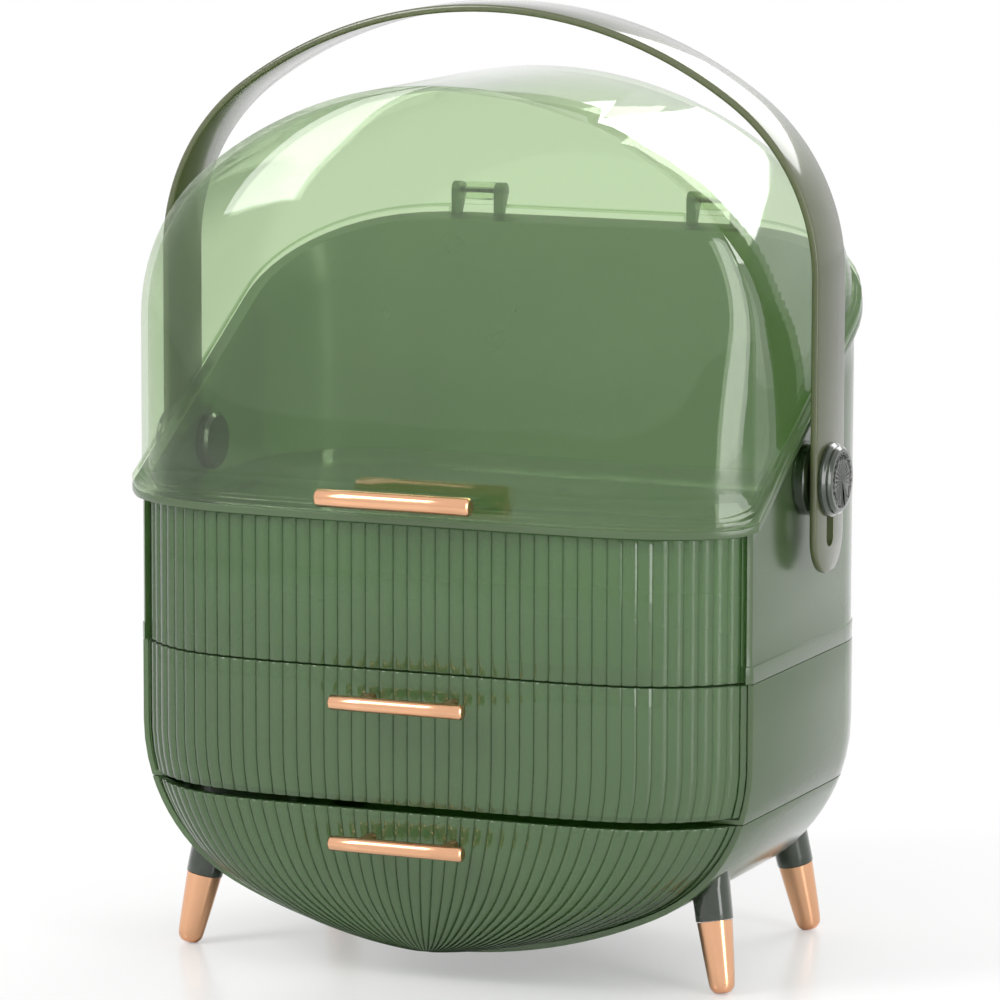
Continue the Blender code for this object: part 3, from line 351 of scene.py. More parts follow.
DOME_CLEAR = clear_plastic(
    "dome_clear_plastic",
    face_on=screen(238, 245, 232),
    glance_tint_and_painted_shade=screen(110, 140, 95),
    edge_power=9.0,
    body_share=0.015,
    body_colour=screen(170, 205, 155),
    gloss=0.04,
    ripple=0.12,
)
REEDED_CLEAR = clear_plastic(
    "reeded_clear_plastic",
    face_on=screen(190, 216, 174),
    glance_tint_and_painted_shade=screen(30, 56, 28),
    edge_power=1.6,
    body_share=0.42,
    body_colour=screen(104, 140, 88),
    gloss=0.07,
)
STRAP_CLEAR = clear_plastic(
    "strap_clear_plastic",
    face_on=screen(180, 188, 150),
    glance_tint_and_painted_shade=screen(50, 62, 36),
    edge_power=3.0,
    body_share=0.6,
    body_colour=screen(100, 108, 70),
    gloss=0.08,
)
SHELL_SATIN = clear_plastic(
    "shell_satin_plastic",
    face_on=screen(176, 208, 156),
    glance_tint_and_painted_shade=screen(60, 84, 48),
    edge_power=3.0,
    body_share=0.55,
    body_colour=screen(96, 122, 80),
    gloss=0.22,
)
print("see-through plastics mixed")

# %% [markdown]
# ## Dark plastic
#
# The legs and the bosses, caps and covers of the handle's pivots are solid plastic, so dark a green
# that it is nearly black, and glossy. It is drawn as a body colour under a clear coat, with the faint
# clouds and grain that a moulding has.

# %% Dark plastic
CLOUD_SCALE = 14.0
CLOUD_DETAIL = 3.0
CLOUD_TINT = 1.12
CLOUD_ROUGHNESS = 0.06
COAT_ROUGHNESS = 0.08
GRAIN_SCALE = 900.0
GRAIN_HEIGHT = 0.0004


def moulded_plastic(name, colour, roughness, coat, grain):
    """Solid plastic: a soft sheen under a thin gloss, with the faint unevenness of a moulding."""
    recipe = Recipe(name)
    cloud = recipe.noise(CLOUD_SCALE, CLOUD_DETAIL)
    inputs = {
        "Base Color": recipe.blend(cloud, colour, tinted(colour, CLOUD_TINT)),
        "Roughness": roughness + CLOUD_ROUGHNESS * cloud,
        "Coat Weight": coat,
        "Coat Roughness": COAT_ROUGHNESS,
        "Normal": recipe.bump(recipe.noise(GRAIN_SCALE), grain, GRAIN_HEIGHT),
    }
    return recipe.finish(recipe.node("ShaderNodeBsdfPrincipled", {}, inputs))


DARK_GLOSS = moulded_plastic(
    "dark_gloss_plastic",
    colour=screen(34, 46, 30),
    roughness=0.14,
    coat=0.8,
    grain=0.01,
)
print("dark plastic mixed")

# %% [markdown]
# ## Metals
#
# The bars and feet are plated in rose gold, and the pins and screws are bright steel. Both are
# polished, so almost all of their look is what they mirror. A faint cloud in tone and roughness keeps
# large faces from looking perfect.

# %% Metals
METAL_CLOUDS = 60.0
METAL_SHADE = 0.93
METAL_ROUGHNESS = 0.05


def plated_metal(name, colour, roughness):
    recipe = Recipe(name)
    cloud = recipe.noise(METAL_CLOUDS)
    tone = recipe.blend(cloud, colour, tinted(colour, METAL_SHADE))
    rough = roughness + METAL_ROUGHNESS * cloud
    inputs = {"Base Color": tone, "Metallic": 1.0, "Roughness": rough}
    return recipe.finish(recipe.node("ShaderNodeBsdfPrincipled", {}, inputs))


ROSE_GOLD = plated_metal("rose_gold_plating", screen(232, 178, 140), roughness=0.16)
STEEL = plated_metal("bright_steel", screen(190, 190, 188), roughness=0.2)
FINISHES = {
    "shell": SHELL_SATIN,
    "reeded_plastic": REEDED_CLEAR,
    "clear_plastic": DOME_CLEAR,
    "strap_plastic": STRAP_CLEAR,
    "dark_plastic": DARK_GLOSS,
    "rose_gold": ROSE_GOLD,
    "steel": STEEL,
}
print(sorted(set(slot_of.values()) - set(FINISHES)), "slots without a finish")

# %% [markdown]
# ## The form of the case
#
# Seen from the front the case is a tall capsule: a crown and a keel, each a three-centre arch, joined
# by straight sides. Behind, the outline is turned in all round by the rear radius. In front, the face
# is bowed forward. Every large moulding is a set of sections of this one form, so the same few sizes
# and functions draw them all, with many more sections than the frame has.

# %% Sizes of the form
HALF_WIDTH = 0.150
CROWN_TOP = 0.4035
CROWN_RADIUS = 0.185
SHOULDER_RADIUS = 0.090
KEEL_HEIGHT = 0.0105
KEEL_RADIUS = 0.245
BILGE_RADIUS = 0.080
FRONT_Y = -0.0642
BACK_Y = 0.1136
REAR_RADIUS = 0.060
REAR_CENTRE_Y = BACK_Y - REAR_RADIUS
BOW_DEPTH = 0.033
BOW_POWER = 6
FACE_Y = FRONT_Y - BOW_DEPTH
RIM_HEIGHT = 0.2140
LID_FACE_POWER = 2.2
LID_FACE_TOP_SHARE = 0.10
BOWL_ROLL_HEIGHT = 0.058
BOWL_FACE_FOOT_SHARE = 0.35
CROWN_CENTRE_Z = CROWN_TOP - CROWN_RADIUS
KEEL_CENTRE_Z = KEEL_HEIGHT + KEEL_RADIUS
SHOULDER_X = HALF_WIDTH - SHOULDER_RADIUS
BILGE_X = HALF_WIDTH - BILGE_RADIUS
SHOULDER_Z = CROWN_CENTRE_Z + sqrt((CROWN_RADIUS - SHOULDER_RADIUS) ** 2 - SHOULDER_X**2)
BILGE_Z = KEEL_CENTRE_Z - sqrt((KEEL_RADIUS - BILGE_RADIUS) ** 2 - BILGE_X**2)
SHOULDER_ANGLE = atan2(SHOULDER_Z - CROWN_CENTRE_Z, SHOULDER_X)
BILGE_ANGLE = atan2(KEEL_CENTRE_Z - BILGE_Z, BILGE_X)
print("shoulders spring at", round(SHOULDER_Z, 4), "and bilges at", round(BILGE_Z, 4))

# %% [markdown]
# ## Outline and face
#
# A mould maker gives a form by its outline and its face. The outline is asked for by height and by
# how far it is set in, so that one function serves the outside, the inside and the rear radius. The
# face is a flat bow that is full between the rim and the bowl, fades towards the crown, and rolls
# back at the foot.

# %% Outline and face


def half_width(z, inset):
    """Half the width of the outline at a height, with the outline set in by inset."""
    if z > SHOULDER_Z:
        if z < SHOULDER_Z + (SHOULDER_RADIUS - inset) * sin(SHOULDER_ANGLE):
            return SHOULDER_X + sqrt((SHOULDER_RADIUS - inset) ** 2 - (z - SHOULDER_Z) ** 2)
        return sqrt(max((CROWN_RADIUS - inset) ** 2 - (z - CROWN_CENTRE_Z) ** 2, 0))
    if z < BILGE_Z:
        if z > BILGE_Z - (BILGE_RADIUS - inset) * sin(BILGE_ANGLE):
            return BILGE_X + sqrt((BILGE_RADIUS - inset) ** 2 - (BILGE_Z - z) ** 2)
        return sqrt(max((KEEL_RADIUS - inset) ** 2 - (KEEL_CENTRE_Z - z) ** 2, 0))
    return HALF_WIDTH - inset


def face_share(z):
    """How much of the bow the front face has at a height."""
    if z > RIM_HEIGHT:
        climb = (z - RIM_HEIGHT) / (CROWN_TOP - RIM_HEIGHT)
        return 1 - (1 - LID_FACE_TOP_SHARE) * min(climb, 1) ** LID_FACE_POWER
    if z < BOWL_ROLL_HEIGHT:
        drop = (BOWL_ROLL_HEIGHT - z) / (BOWL_ROLL_HEIGHT - KEEL_HEIGHT)
        return BOWL_FACE_FOOT_SHARE + (1 - BOWL_FACE_FOOT_SHARE) * sqrt(max(1 - drop**2, 0))
    return 1.0


def bow(share):
    """How far the face stands forward at a share of its half width."""
    return BOW_DEPTH * (1 - abs(share) ** BOW_POWER)


print("face stands", round(bow(0.5), 4), "forward half way out")

# %% [markdown]
# ## The rim
#
# The joint between the well and the lid runs level across the front, bends at the corner, and climbs
# evenly to the rear. So a rim is a height for each depth, and a small curve blends the two straights.

# %% Rim line
RIM_KINK_SETOFF = 0.007
RIM_KINK_BLEND = 0.006
RIM_REAR_SHARE = 0.856
RIM_RISE = RIM_REAR_SHARE * (CROWN_TOP - REAR_RADIUS - RIM_HEIGHT)
RIM_SLOPE = RIM_RISE / (BACK_Y - FRONT_Y + RIM_KINK_SETOFF)
RIM_STRETCH = hypot(1, RIM_SLOPE)


def rim(lift):
    """The rim's height for each depth, raised by lift, which is measured square to the rim."""
    level_part = RIM_HEIGHT + lift
    kink = FRONT_Y - RIM_KINK_SETOFF - lift * (RIM_STRETCH - 1) / RIM_SLOPE

    def height(y):
        past = y - kink
        if abs(past) < RIM_KINK_BLEND:
            return level_part + RIM_SLOPE * (past + RIM_KINK_BLEND) ** 2 / (4 * RIM_KINK_BLEND)
        return level_part + RIM_SLOPE * max(past, 0)

    return height


def level(z):
    """A height that is the same at every depth."""
    return lambda y: z


def part_way(low, high, share):
    """A height that lies between two others, by a share of the way up."""
    return lambda y: low(y) + (high(y) - low(y)) * share


print("rim climbs to", round(rim(0)(BACK_Y), 4))

# %% [markdown]
# ## Columns across the face
#
# The reeds are cut into the mould side by side, all equally wide along the bowed face, with a plain
# margin at each end. A column is a share of the half width, from -1 to 1, with how deep it lies in a
# groove. Each reed has eight columns, enough for it to be round on top and sharp at its grooves.

# %% Columns across the face
RIB_COUNT = 45
RIB_DEPTH = 0.0012
RIB_MARGIN = 0.0036
REED_POINTS = 8
REED_SHARPNESS = 2.6
MARGIN_PARTS = (0, 0.3, 0.6, 0.85)
FACE_SAMPLES = 1200
PLAIN_COLUMNS = 72


def even_shares(count, margin=0.0):
    """Shares of the half width that cut the bowed face into equal lengths."""
    shares = [2 * step / FACE_SAMPLES - 1 for step in range(FACE_SAMPLES + 1)]
    lengths = [0.0]
    for before, after in zip(shares, shares[1:]):
        lengths.append(lengths[-1] + hypot(HALF_WIDTH * (after - before), bow(after) - bow(before)))
    pitch = (lengths[-1] - 2 * margin) / count
    found = []
    place = 0
    for number in range(count + 1):
        wanted = margin + number * pitch
        while place < FACE_SAMPLES - 1 and lengths[place + 1] < wanted:
            place += 1
        part = (wanted - lengths[place]) / (lengths[place + 1] - lengths[place])
        found.append(shares[place] + part * (shares[place + 1] - shares[place]))
    return found


def reeded_columns():
    """Shares across the face, each with how deep it lies in a groove, from 0 to 1."""
    grooves = even_shares(RIB_COUNT, RIB_MARGIN)
    margin = grooves[0] + 1
    columns = [(-1 + margin * part, 0.0) for part in MARGIN_PARTS]
    for left, right in zip(grooves, grooves[1:]):
        for step in range(REED_POINTS):
            part = step / REED_POINTS
            columns.append((left + (right - left) * part, abs(2 * part - 1) ** REED_SHARPNESS))
    columns.append((grooves[-1], 1.0))
    return columns + [(-share, depth) for share, depth in reversed(columns[: len(MARGIN_PARTS)])]


REEDED = reeded_columns()
SMOOTHED = [(share, 0.0) for share, depth in REEDED]
PLAIN = [(min(max(share, -1), 1), 0.0) for share in even_shares(PLAIN_COLUMNS)]
print(len(REEDED), "columns across a reeded face")

# %% [markdown]
# ## Sheets laid on the form
#
# The face, the sides and the slanted rim all follow rules of their own, so a moulding is drawn as a
# grid whose rows of vertices are laid on the form, like a cloth on a former. The grid's edges are
# then merged into a tube, and its open ends filled, so that the skin closes.

# %% Lay and close sheets
MERGE_REACH = 0.000002


def only(piece):
    """Selects one piece alone and makes it the active one."""
    bpy.ops.object.select_all(action="DESELECT")
    piece.select_set(True)
    bpy.context.view_layer.objects.active = piece


def laid_sheet(name, rows):
    """A grid whose vertices lie on these rows of points."""
    bpy.ops.object.select_all(action="DESELECT")
    bpy.ops.mesh.primitive_grid_add(x_subdivisions=len(rows[0]) - 1, y_subdivisions=len(rows) - 1)
    sheet = bpy.context.active_object
    sheet.name = name
    sheet.data.vertices.foreach_set("co", [value for row in rows for point in row for value in point])
    sheet.data.update()
    return sheet


def joined(name, pieces):
    bpy.ops.object.select_all(action="DESELECT")
    for piece in pieces:
        piece.select_set(True)
    bpy.context.view_layer.objects.active = pieces[0]
    if len(pieces) > 1:
        bpy.ops.object.join()
    pieces[0].name = name
    return pieces[0]


def closed_up(name, sheets, fill=True):
    """Joins sheets that share edges into one closed skin with its faces outwards."""
    piece = joined(name, sheets)
    bpy.ops.object.mode_set(mode="EDIT")
    bpy.ops.mesh.select_all(action="SELECT")
    bpy.ops.mesh.remove_doubles(threshold=MERGE_REACH)
    if fill:
        # A limit of 0 sides fills openings of any size.
        bpy.ops.mesh.fill_holes(sides=0)
    bpy.ops.mesh.select_all(action="SELECT")
    bpy.ops.mesh.normals_make_consistent(inside=False)
    bpy.ops.object.mode_set(mode="OBJECT")
    return piece


def tube(name, rings):
    """A sheet through closed rings, each of which ends where it began."""
    return laid_sheet(name, [ring + ring[:1] for ring in rings])


def solid_loft(name, rings):
    return closed_up(name, [tube(name, rings)])


print("sheet tools ready")

# %% [markdown]
# ## Cutting, easing and dressing
#
# Bays, notches and slots are cut out of a closed skin by another one. A narrow bevel rounds the edges
# that a mould would round. Faces that meet at less than the sharp angle are shaded as one smooth
# surface, so that the many sections read as the single curve that they follow.

# %% Cut, ease and dress a piece
SHARP = radians(32)
SHELL_EASE = 0.0005
RIM_EASE = 0.0006
SMALL_EASE = 0.0004


def modified(piece, kind, **settings):
    """Adds one modifier to a piece and applies it at once."""
    only(piece)
    modifier = piece.modifiers.new(kind.lower(), kind)
    for key, value in settings.items():
        setattr(modifier, key, value)
    bpy.ops.object.modifier_apply(modifier=modifier.name)
    return piece


def cut_by(piece, cutter):
    modified(piece, "BOOLEAN", operation="DIFFERENCE", solver="EXACT", object=cutter)
    bpy.data.objects.remove(cutter, do_unlink=True)
    return piece


def eased(piece, width):
    return modified(piece, "BEVEL", width=width, segments=2, limit_method="ANGLE", angle_limit=SHARP)


def dressed(piece, node):
    """Shades a finished piece, gives it its finish, and lets it stand for the frame's solid."""
    only(piece)
    bpy.ops.object.shade_smooth_by_angle(angle=SHARP)
    piece.data.materials.clear()
    piece.data.materials.append(FINISHES[slot_of[node]])
    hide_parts(node)
    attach(piece, body_of[node])
    print(piece.name, len(piece.data.polygons), "faces")
    return piece


print("cutting tools ready")

# %% [markdown]
# ## Sections and rings
#
# A section is cut level through the form. A ring follows the form round at a height that may change
# with depth, such as the rim. Both start at the front left corner, cross the face, and come back round
# the rear.

# %% Sections and rings
REAR_STEPS = 14
LAND = 0.0002


def section(z, inset, columns, face_inset=0.0, front_y=None):
    """A level loop, set in all round; without columns, its front is one straight edge at front_y."""
    width = half_width(z, inset)
    if columns:
        reach = face_share(z)
        loop = []
        for share, groove in columns:
            y = FRONT_Y + face_inset + groove * RIB_DEPTH - reach * bow(share)
            loop.append((share * width, y, z))
    else:
        loop = [(-width, front_y, z), (width, front_y, z)]
    turn = REAR_RADIUS - inset
    # Close to the crown or the keel the rear radius ends early, where the outline has shrunk to nothing.
    nearest_end = min(CROWN_TOP - z, z - KEEL_HEIGHT) - LAND / 2
    deepest = max(min(REAR_RADIUS, nearest_end), inset + LAND / 4)
    end = atan2(sqrt(turn**2 - (REAR_RADIUS - deepest) ** 2), REAR_RADIUS - deepest)
    right = []
    for step in range(REAR_STEPS + 1):
        angle = end * step / REAR_STEPS
        x = half_width(z, REAR_RADIUS - turn * cos(angle))
        right.append((x, REAR_CENTRE_Y + turn * sin(angle), z))
    return loop + right + [(-x, y, height) for x, y, height in reversed(right)]


def side_stations(inset):
    """Depths behind the front corner, each with how far the outline has drawn in there."""
    turn = REAR_RADIUS - inset
    angles = [pi / 2 * step / REAR_STEPS for step in range(REAR_STEPS + 1)]
    return [(REAR_CENTRE_Y + turn * sin(a), REAR_RADIUS - turn * cos(a)) for a in angles]


def face_points(height, inset, face_inset, columns):
    """Points across the bowed face, one for each column."""
    points = []
    reach = face_share(height(FACE_Y))
    for share, groove in columns:
        y = FRONT_Y + face_inset + groove * RIB_DEPTH - reach * bow(share)
        z = height(y)
        points.append((share * half_width(z, inset), y, z))
    return points


def ring(height, inset, face_inset, columns):
    """A loop round the form at a height that may change with depth."""
    right = [(half_width(height(y), drawn), y, height(y)) for y, drawn in side_stations(inset)]
    front = face_points(height, inset, face_inset, columns)
    return front + right + [(-x, y, z) for x, y, z in reversed(right)]


print(len(ring(level(RIM_HEIGHT), 0, 0, PLAIN)), "points round a plain ring")

# %% [markdown]
# ## Heights of the sections
#
# A bowl needs many sections where it turns under and few where its sides stand upright. So the
# heights are read off the outline's arcs in even angles, from the keel up to each seam.

# %% Heights of the lower sections
KEEL_STEPS = 14
BILGE_STEPS = 14
TIER_STEPS = 10
LOW_SEAM = 0.080
MID_SEAM = 0.144
GAP = 0.0003
LEAST_STEP = 0.001


def bowl_levels(inset):
    """Heights up the bowl, closer together at the keel, where it is flattest."""
    sweep = pi / 2 - BILGE_ANGLE
    keel = [
        KEEL_CENTRE_Z - (KEEL_RADIUS - inset) * sin(pi / 2 - sweep * step / KEEL_STEPS)
        for step in range(1, KEEL_STEPS)
    ]
    bilge = [
        BILGE_Z - (BILGE_RADIUS - inset) * sin(BILGE_ANGLE * (1 - step / BILGE_STEPS))
        for step in range(BILGE_STEPS)
    ]
    top = LOW_SEAM - GAP
    foot = KEEL_HEIGHT + inset + LAND
    return [foot] + [z for z in keel + bilge if foot + LAND < z < top - LEAST_STEP] + [top]


def tier_levels(low, high, inset):
    """Heights up a drawer's storey, with the bilge's curve where it still reaches there."""
    angles = [BILGE_ANGLE * step / TIER_STEPS for step in range(TIER_STEPS)]
    curve = [BILGE_Z - (BILGE_RADIUS - inset) * sin(angle) for angle in angles]
    return [low] + sorted(z for z in curve if low + LEAST_STEP < z < high - LEAST_STEP) + [high]


print(len(bowl_levels(0)), "sections up the bowl")

# %% [markdown]
# ## Housings
#
# The shell is three trays stacked on each other. Each is moulded in satin green plastic that lets a
# little light through, and is open in front for a drawer or the fixed reeded panel. The outer form is
# lofted, the bay is lofted smaller and cut out, and a narrow bevel eases the edges.

# %% Middle and lower housings
SHELL_WALL = 0.0028
FLOOR_THICKNESS = 0.0025
OVERRUN = 0.020


def trough(node, outside, bay):
    """A housing through these heights, with a bay cut out that runs on past its front and top."""
    body = solid_loft(f"{node}_shell", [section(z, 0, None, 0, FRONT_Y) for z in outside])
    space = [section(z, SHELL_WALL, None, 0, FRONT_Y - OVERRUN) for z in bay]
    cut_by(body, solid_loft(f"{node}_bay", space))
    return dressed(eased(body, SHELL_EASE), node)


middle_top = MID_SEAM - GAP
middle_bay = tier_levels(LOW_SEAM + FLOOR_THICKNESS, middle_top, SHELL_WALL) + [middle_top + OVERRUN]
trough("middle_housing", tier_levels(LOW_SEAM, middle_top, 0), middle_bay)
trough("lower_housing", bowl_levels(0), bowl_levels(SHELL_WALL) + [MID_SEAM])

# %% [markdown]
# ## Well and rim flange
#
# The upper housing is the well under the lid. Its rings run from the floor up the outside, out round
# the flange that the lid lands on, and back down the inside. The front is then opened for the reeded
# panel.

# %% Upper housing
WELL_SKIRT = 0.0075
SKIRT_STEP = 0.0006
FLANGE_OUT = 0.0033
FLANGE_THICKNESS = 0.0032
FACE_WALL = 0.0032
DRAWER_INSET = SHELL_WALL + GAP
WALL_ROWS = 7


def upper_rings():
    """The well's rings, from under its floor, up the outside, over the flange and down the inside."""
    floor_top = level(MID_SEAM + WELL_SKIRT)
    under = level(MID_SEAM + WELL_SKIRT - FLOOR_THICKNESS)
    step_top = level(MID_SEAM + WELL_SKIRT + SKIRT_STEP)
    flange_under = rim(-FLANGE_THICKNESS)
    hidden = 2 * SHELL_WALL
    rings = [ring(under, hidden, hidden, PLAIN), ring(level(MID_SEAM), hidden, hidden, PLAIN)]
    rings += [ring(level(MID_SEAM), 0, 0, PLAIN), ring(floor_top, 0, 0, PLAIN)]
    shares = [step / WALL_ROWS for step in range(WALL_ROWS + 1)]
    rings += [ring(part_way(step_top, flange_under, s), SKIRT_STEP, 0, PLAIN) for s in shares]
    rings += [ring(height, -FLANGE_OUT, -FLANGE_OUT, PLAIN) for height in (flange_under, rim(0))]
    falling = reversed(shares)
    return rings + [ring(part_way(floor_top, rim(0), s), SHELL_WALL, FACE_WALL, PLAIN) for s in falling]


def panel_opening():
    """The space to cut for the front panel: a bowed rear face, straight sides and an open front."""
    floor_top = level(MID_SEAM + WELL_SKIRT)
    face = [(x, y) for x, y, z in face_points(floor_top, DRAWER_INSET, FACE_WALL + 2 * GAP, PLAIN)]
    rebate = HALF_WIDTH - SHELL_WALL + GAP
    plan = [(-rebate, face[0][1])] + face + [(rebate, face[-1][1])]
    plan += [(rebate, FACE_Y - OVERRUN), (-rebate, FACE_Y - OVERRUN)]
    heights = (MID_SEAM - OVERRUN, RIM_HEIGHT - FLANGE_THICKNESS - GAP)
    return solid_loft("panel_opening", [[(x, y, z) for x, y in plan] for z in heights])


well = eased(cut_by(solid_loft("well", upper_rings()), panel_opening()), RIM_EASE)
print("well has", len(well.data.polygons), "faces")

# %% [markdown]
# ## Hinge ears and ledges
#
# Two hinges stand on the rear rim. Each has a pair of ears on the well and one knuckle on the lid
# between them. An ear is a flat outline with a round head, drawn as a filled circle of points and
# pushed through by its width. The ledges that carry the tray are made the same way.

# %% Outlines pushed through
HINGE_SPREAD = 0.060
HINGE_STANDOFF = 0.0050
HINGE_RISE = 0.0124
HINGE_Y = BACK_Y + HINGE_STANDOFF
HINGE_Z = rim(0)(BACK_Y) + HINGE_RISE
HINGE_RADIUS = 0.0040
KNUCKLE_WIDTH = 0.016
EAR_WIDTH = 0.005
HINGE_PLAY = 0.0004
EAR_MARGIN = 0.0007
HINGE_ROOT = 0.0018
HEAD_STEPS = 20


def pushed_outline(name, outline, low_x, high_x, ease=SMALL_EASE):
    """A flat outline of (y, z) points, filled and extruded along X."""
    bpy.ops.object.select_all(action="DESELECT")
    bpy.ops.mesh.primitive_circle_add(vertices=len(outline), fill_type="NGON")
    piece = bpy.context.active_object
    piece.name = name
    for vertex, (y, z) in zip(piece.data.vertices, outline):
        vertex.co = (low_x, y, z)
    bpy.ops.object.mode_set(mode="EDIT")
    bpy.ops.mesh.select_all(action="SELECT")
    bpy.ops.mesh.extrude_region_move(TRANSFORM_OT_translate={"value": (high_x - low_x, 0, 0)})
    bpy.ops.mesh.select_all(action="SELECT")
    bpy.ops.mesh.normals_make_consistent(inside=False)
    bpy.ops.object.mode_set(mode="OBJECT")
    return eased(piece, ease) if ease else piece


def block_outline(front, rear, low, high):
    return [(front, low), (rear, low), (rear, high), (front, high)]


print("hinge line at height", round(HINGE_Z, 4))

# %% Ears and tray ledges on the well
TRAY_DROP = 0.0105
LEDGE_TOP = RIM_HEIGHT - TRAY_DROP - GAP
LEDGE_THICKNESS = 0.0024
LEDGE_WIDTH = 0.0050
LEDGE_SETBACK = 0.0060


def ears(side):
    """Two ears with a knuckle's width between them, each round over the top and down to the rear."""
    arc = [pi * step / HEAD_STEPS for step in range(-HEAD_STEPS // 4, HEAD_STEPS + 1)]
    foot = rim(0)(BACK_Y) - FLANGE_THICKNESS / 2
    outline = [(HINGE_Y + HINGE_RADIUS * cos(a), HINGE_Z + HINGE_RADIUS * sin(a)) for a in arc]
    outline += [(HINGE_Y - HINGE_RADIUS, foot), (BACK_Y + FLANGE_OUT - EAR_MARGIN, foot)]
    made = []
    for inner in (-1, 1):
        near = side * HINGE_SPREAD + inner * (KNUCKLE_WIDTH / 2 + HINGE_PLAY)
        made.append(pushed_outline("ear", outline, near, near + inner * EAR_WIDTH))
    return made


def ledge(side):
    outline = block_outline(
        FRONT_Y + LEDGE_SETBACK, REAR_CENTRE_Y - LEDGE_SETBACK, LEDGE_TOP - LEDGE_THICKNESS, LEDGE_TOP
    )
    outer = side * (HALF_WIDTH - SHELL_WALL / 2)
    return pushed_outline("ledge", outline, outer, side * (HALF_WIDTH - SHELL_WALL - LEDGE_WIDTH))


dressed(joined("well_shell", [well] + ears(-1) + ears(1) + [ledge(-1), ledge(1)]), "upper_housing")

# %% [markdown]
# ## Reeded fronts
#
# The fixed panel and both drawers are moulded in clear green with fine upright reeds, round on top
# and sharp in the grooves. Each reed has eight facets across, which is enough for the light to roll
# over it. The reeds are geometry, because their grooves show in the outline of the bowl.

# %% Fixed front panel
EDGE_EASE = 0.0007
EASE_BEND_UP = 0.3
EASE_BEND_IN = 0.35


def eased_rows(low, high, rows=1):
    """Heights from low to high with how far the edge is drawn in there."""
    bend = (EASE_BEND_UP * EDGE_EASE, EASE_BEND_IN * EDGE_EASE)
    soft = [(EDGE_EASE, 0), bend, (0, EDGE_EASE)]
    rising = [(low + up, drawn) for up, drawn in reversed(soft)]
    between = [(low + (high - low) * step / (rows + 1), 0) for step in range(1, rows + 1)]
    return rising + between + [(high - down, drawn) for down, drawn in soft]


def front_panel():
    rows = []
    for z, drawn in eased_rows(MID_SEAM + GAP, RIM_HEIGHT - FLANGE_THICKNESS - 2 * GAP):
        outside = face_points(level(z), DRAWER_INSET + drawn, drawn, REEDED)
        inside = face_points(level(z), DRAWER_INSET + drawn, FACE_WALL - drawn, SMOOTHED)
        rows.append(outside + list(reversed(inside)))
    return solid_loft("reeded_panel", rows)


dressed(front_panel(), "front_panel")

# %% [markdown]
# ## Drawers
#
# A drawer is a tub with a reeded front. One sheet runs up the outside, over the brim, and down the
# inside. The tub's own walls are plain. The lower drawer rolls under with the bowl, so its reeds
# draw together towards the keel.

# %% Upper and lower drawers
TUB_WALL = 0.0020
UPPER_ROWS = 5


def drawer(name, outer_rows, inner_levels):
    """A tub with a reeded front and plain walls, open at the top."""
    outside = [section(z, DRAWER_INSET + drawn, REEDED, drawn) for z, drawn in outer_rows]
    inside = [section(z, DRAWER_INSET + TUB_WALL, SMOOTHED, FACE_WALL) for z in reversed(inner_levels)]
    return solid_loft(name, outside + inside)


upper_low, upper_high = LOW_SEAM + FLOOR_THICKNESS + GAP, MID_SEAM - GAP
upper_inner = tier_levels(upper_low + TUB_WALL, upper_high, DRAWER_INSET + TUB_WALL)
upper_rows = eased_rows(upper_low, upper_high, UPPER_ROWS)
dressed(drawer("upper_drawer_tub", upper_rows, upper_inner), "upper_drawer")
bowl_rows = [(z, 0) for z in bowl_levels(DRAWER_INSET) if z < LOW_SEAM - 2 * LEAST_STEP]
# Of the eased rows only the top three are taken, since the bowl's foot has no edge to ease.
bowl_rows += eased_rows(bowl_rows[-1][0], LOW_SEAM - GAP, 0)[-3:]
dressed(drawer("lower_drawer_tub", bowl_rows, bowl_levels(DRAWER_INSET + TUB_WALL)), "lower_drawer")

# %% [markdown]
# ## The clear lid
#
# The dome is one thin clear wall that follows the form: a bowed face, an arch from side to side, and
# a flat back. Three sheets make each side of the wall. Round its foot runs a flange with a small bead,
# which lands on the well's flange.

# %% Dome sheets
ARCH_STEPS = 44
LID_WALL = 0.0023


def arch_points(foot, inset):
    """The right half of the outline from a height up to the crown, in even steps."""
    shoulder = SHOULDER_RADIUS - inset
    crown = CROWN_RADIUS - inset
    straight = max(SHOULDER_Z - foot, 0)
    first = asin(min(max(foot - SHOULDER_Z, 0) / shoulder, sin(SHOULDER_ANGLE)))
    second = max(asin((foot - CROWN_CENTRE_Z) / crown), SHOULDER_ANGLE)
    bend = shoulder * (SHOULDER_ANGLE - first)
    total = straight + bend + crown * (pi / 2 - second)
    points = []
    for step in range(1, ARCH_STEPS):
        run = total * step / ARCH_STEPS
        if run < straight:
            points.append((HALF_WIDTH - inset, foot + run))
        elif run < straight + bend:
            angle = first + (run - straight) / shoulder
            points.append((SHOULDER_X + shoulder * cos(angle), SHOULDER_Z + shoulder * sin(angle)))
        else:
            angle = second + (run - straight - bend) / crown
            points.append((crown * cos(angle), CROWN_CENTRE_Z + crown * sin(angle)))
    return points + [(0, CROWN_CENTRE_Z + crown)]


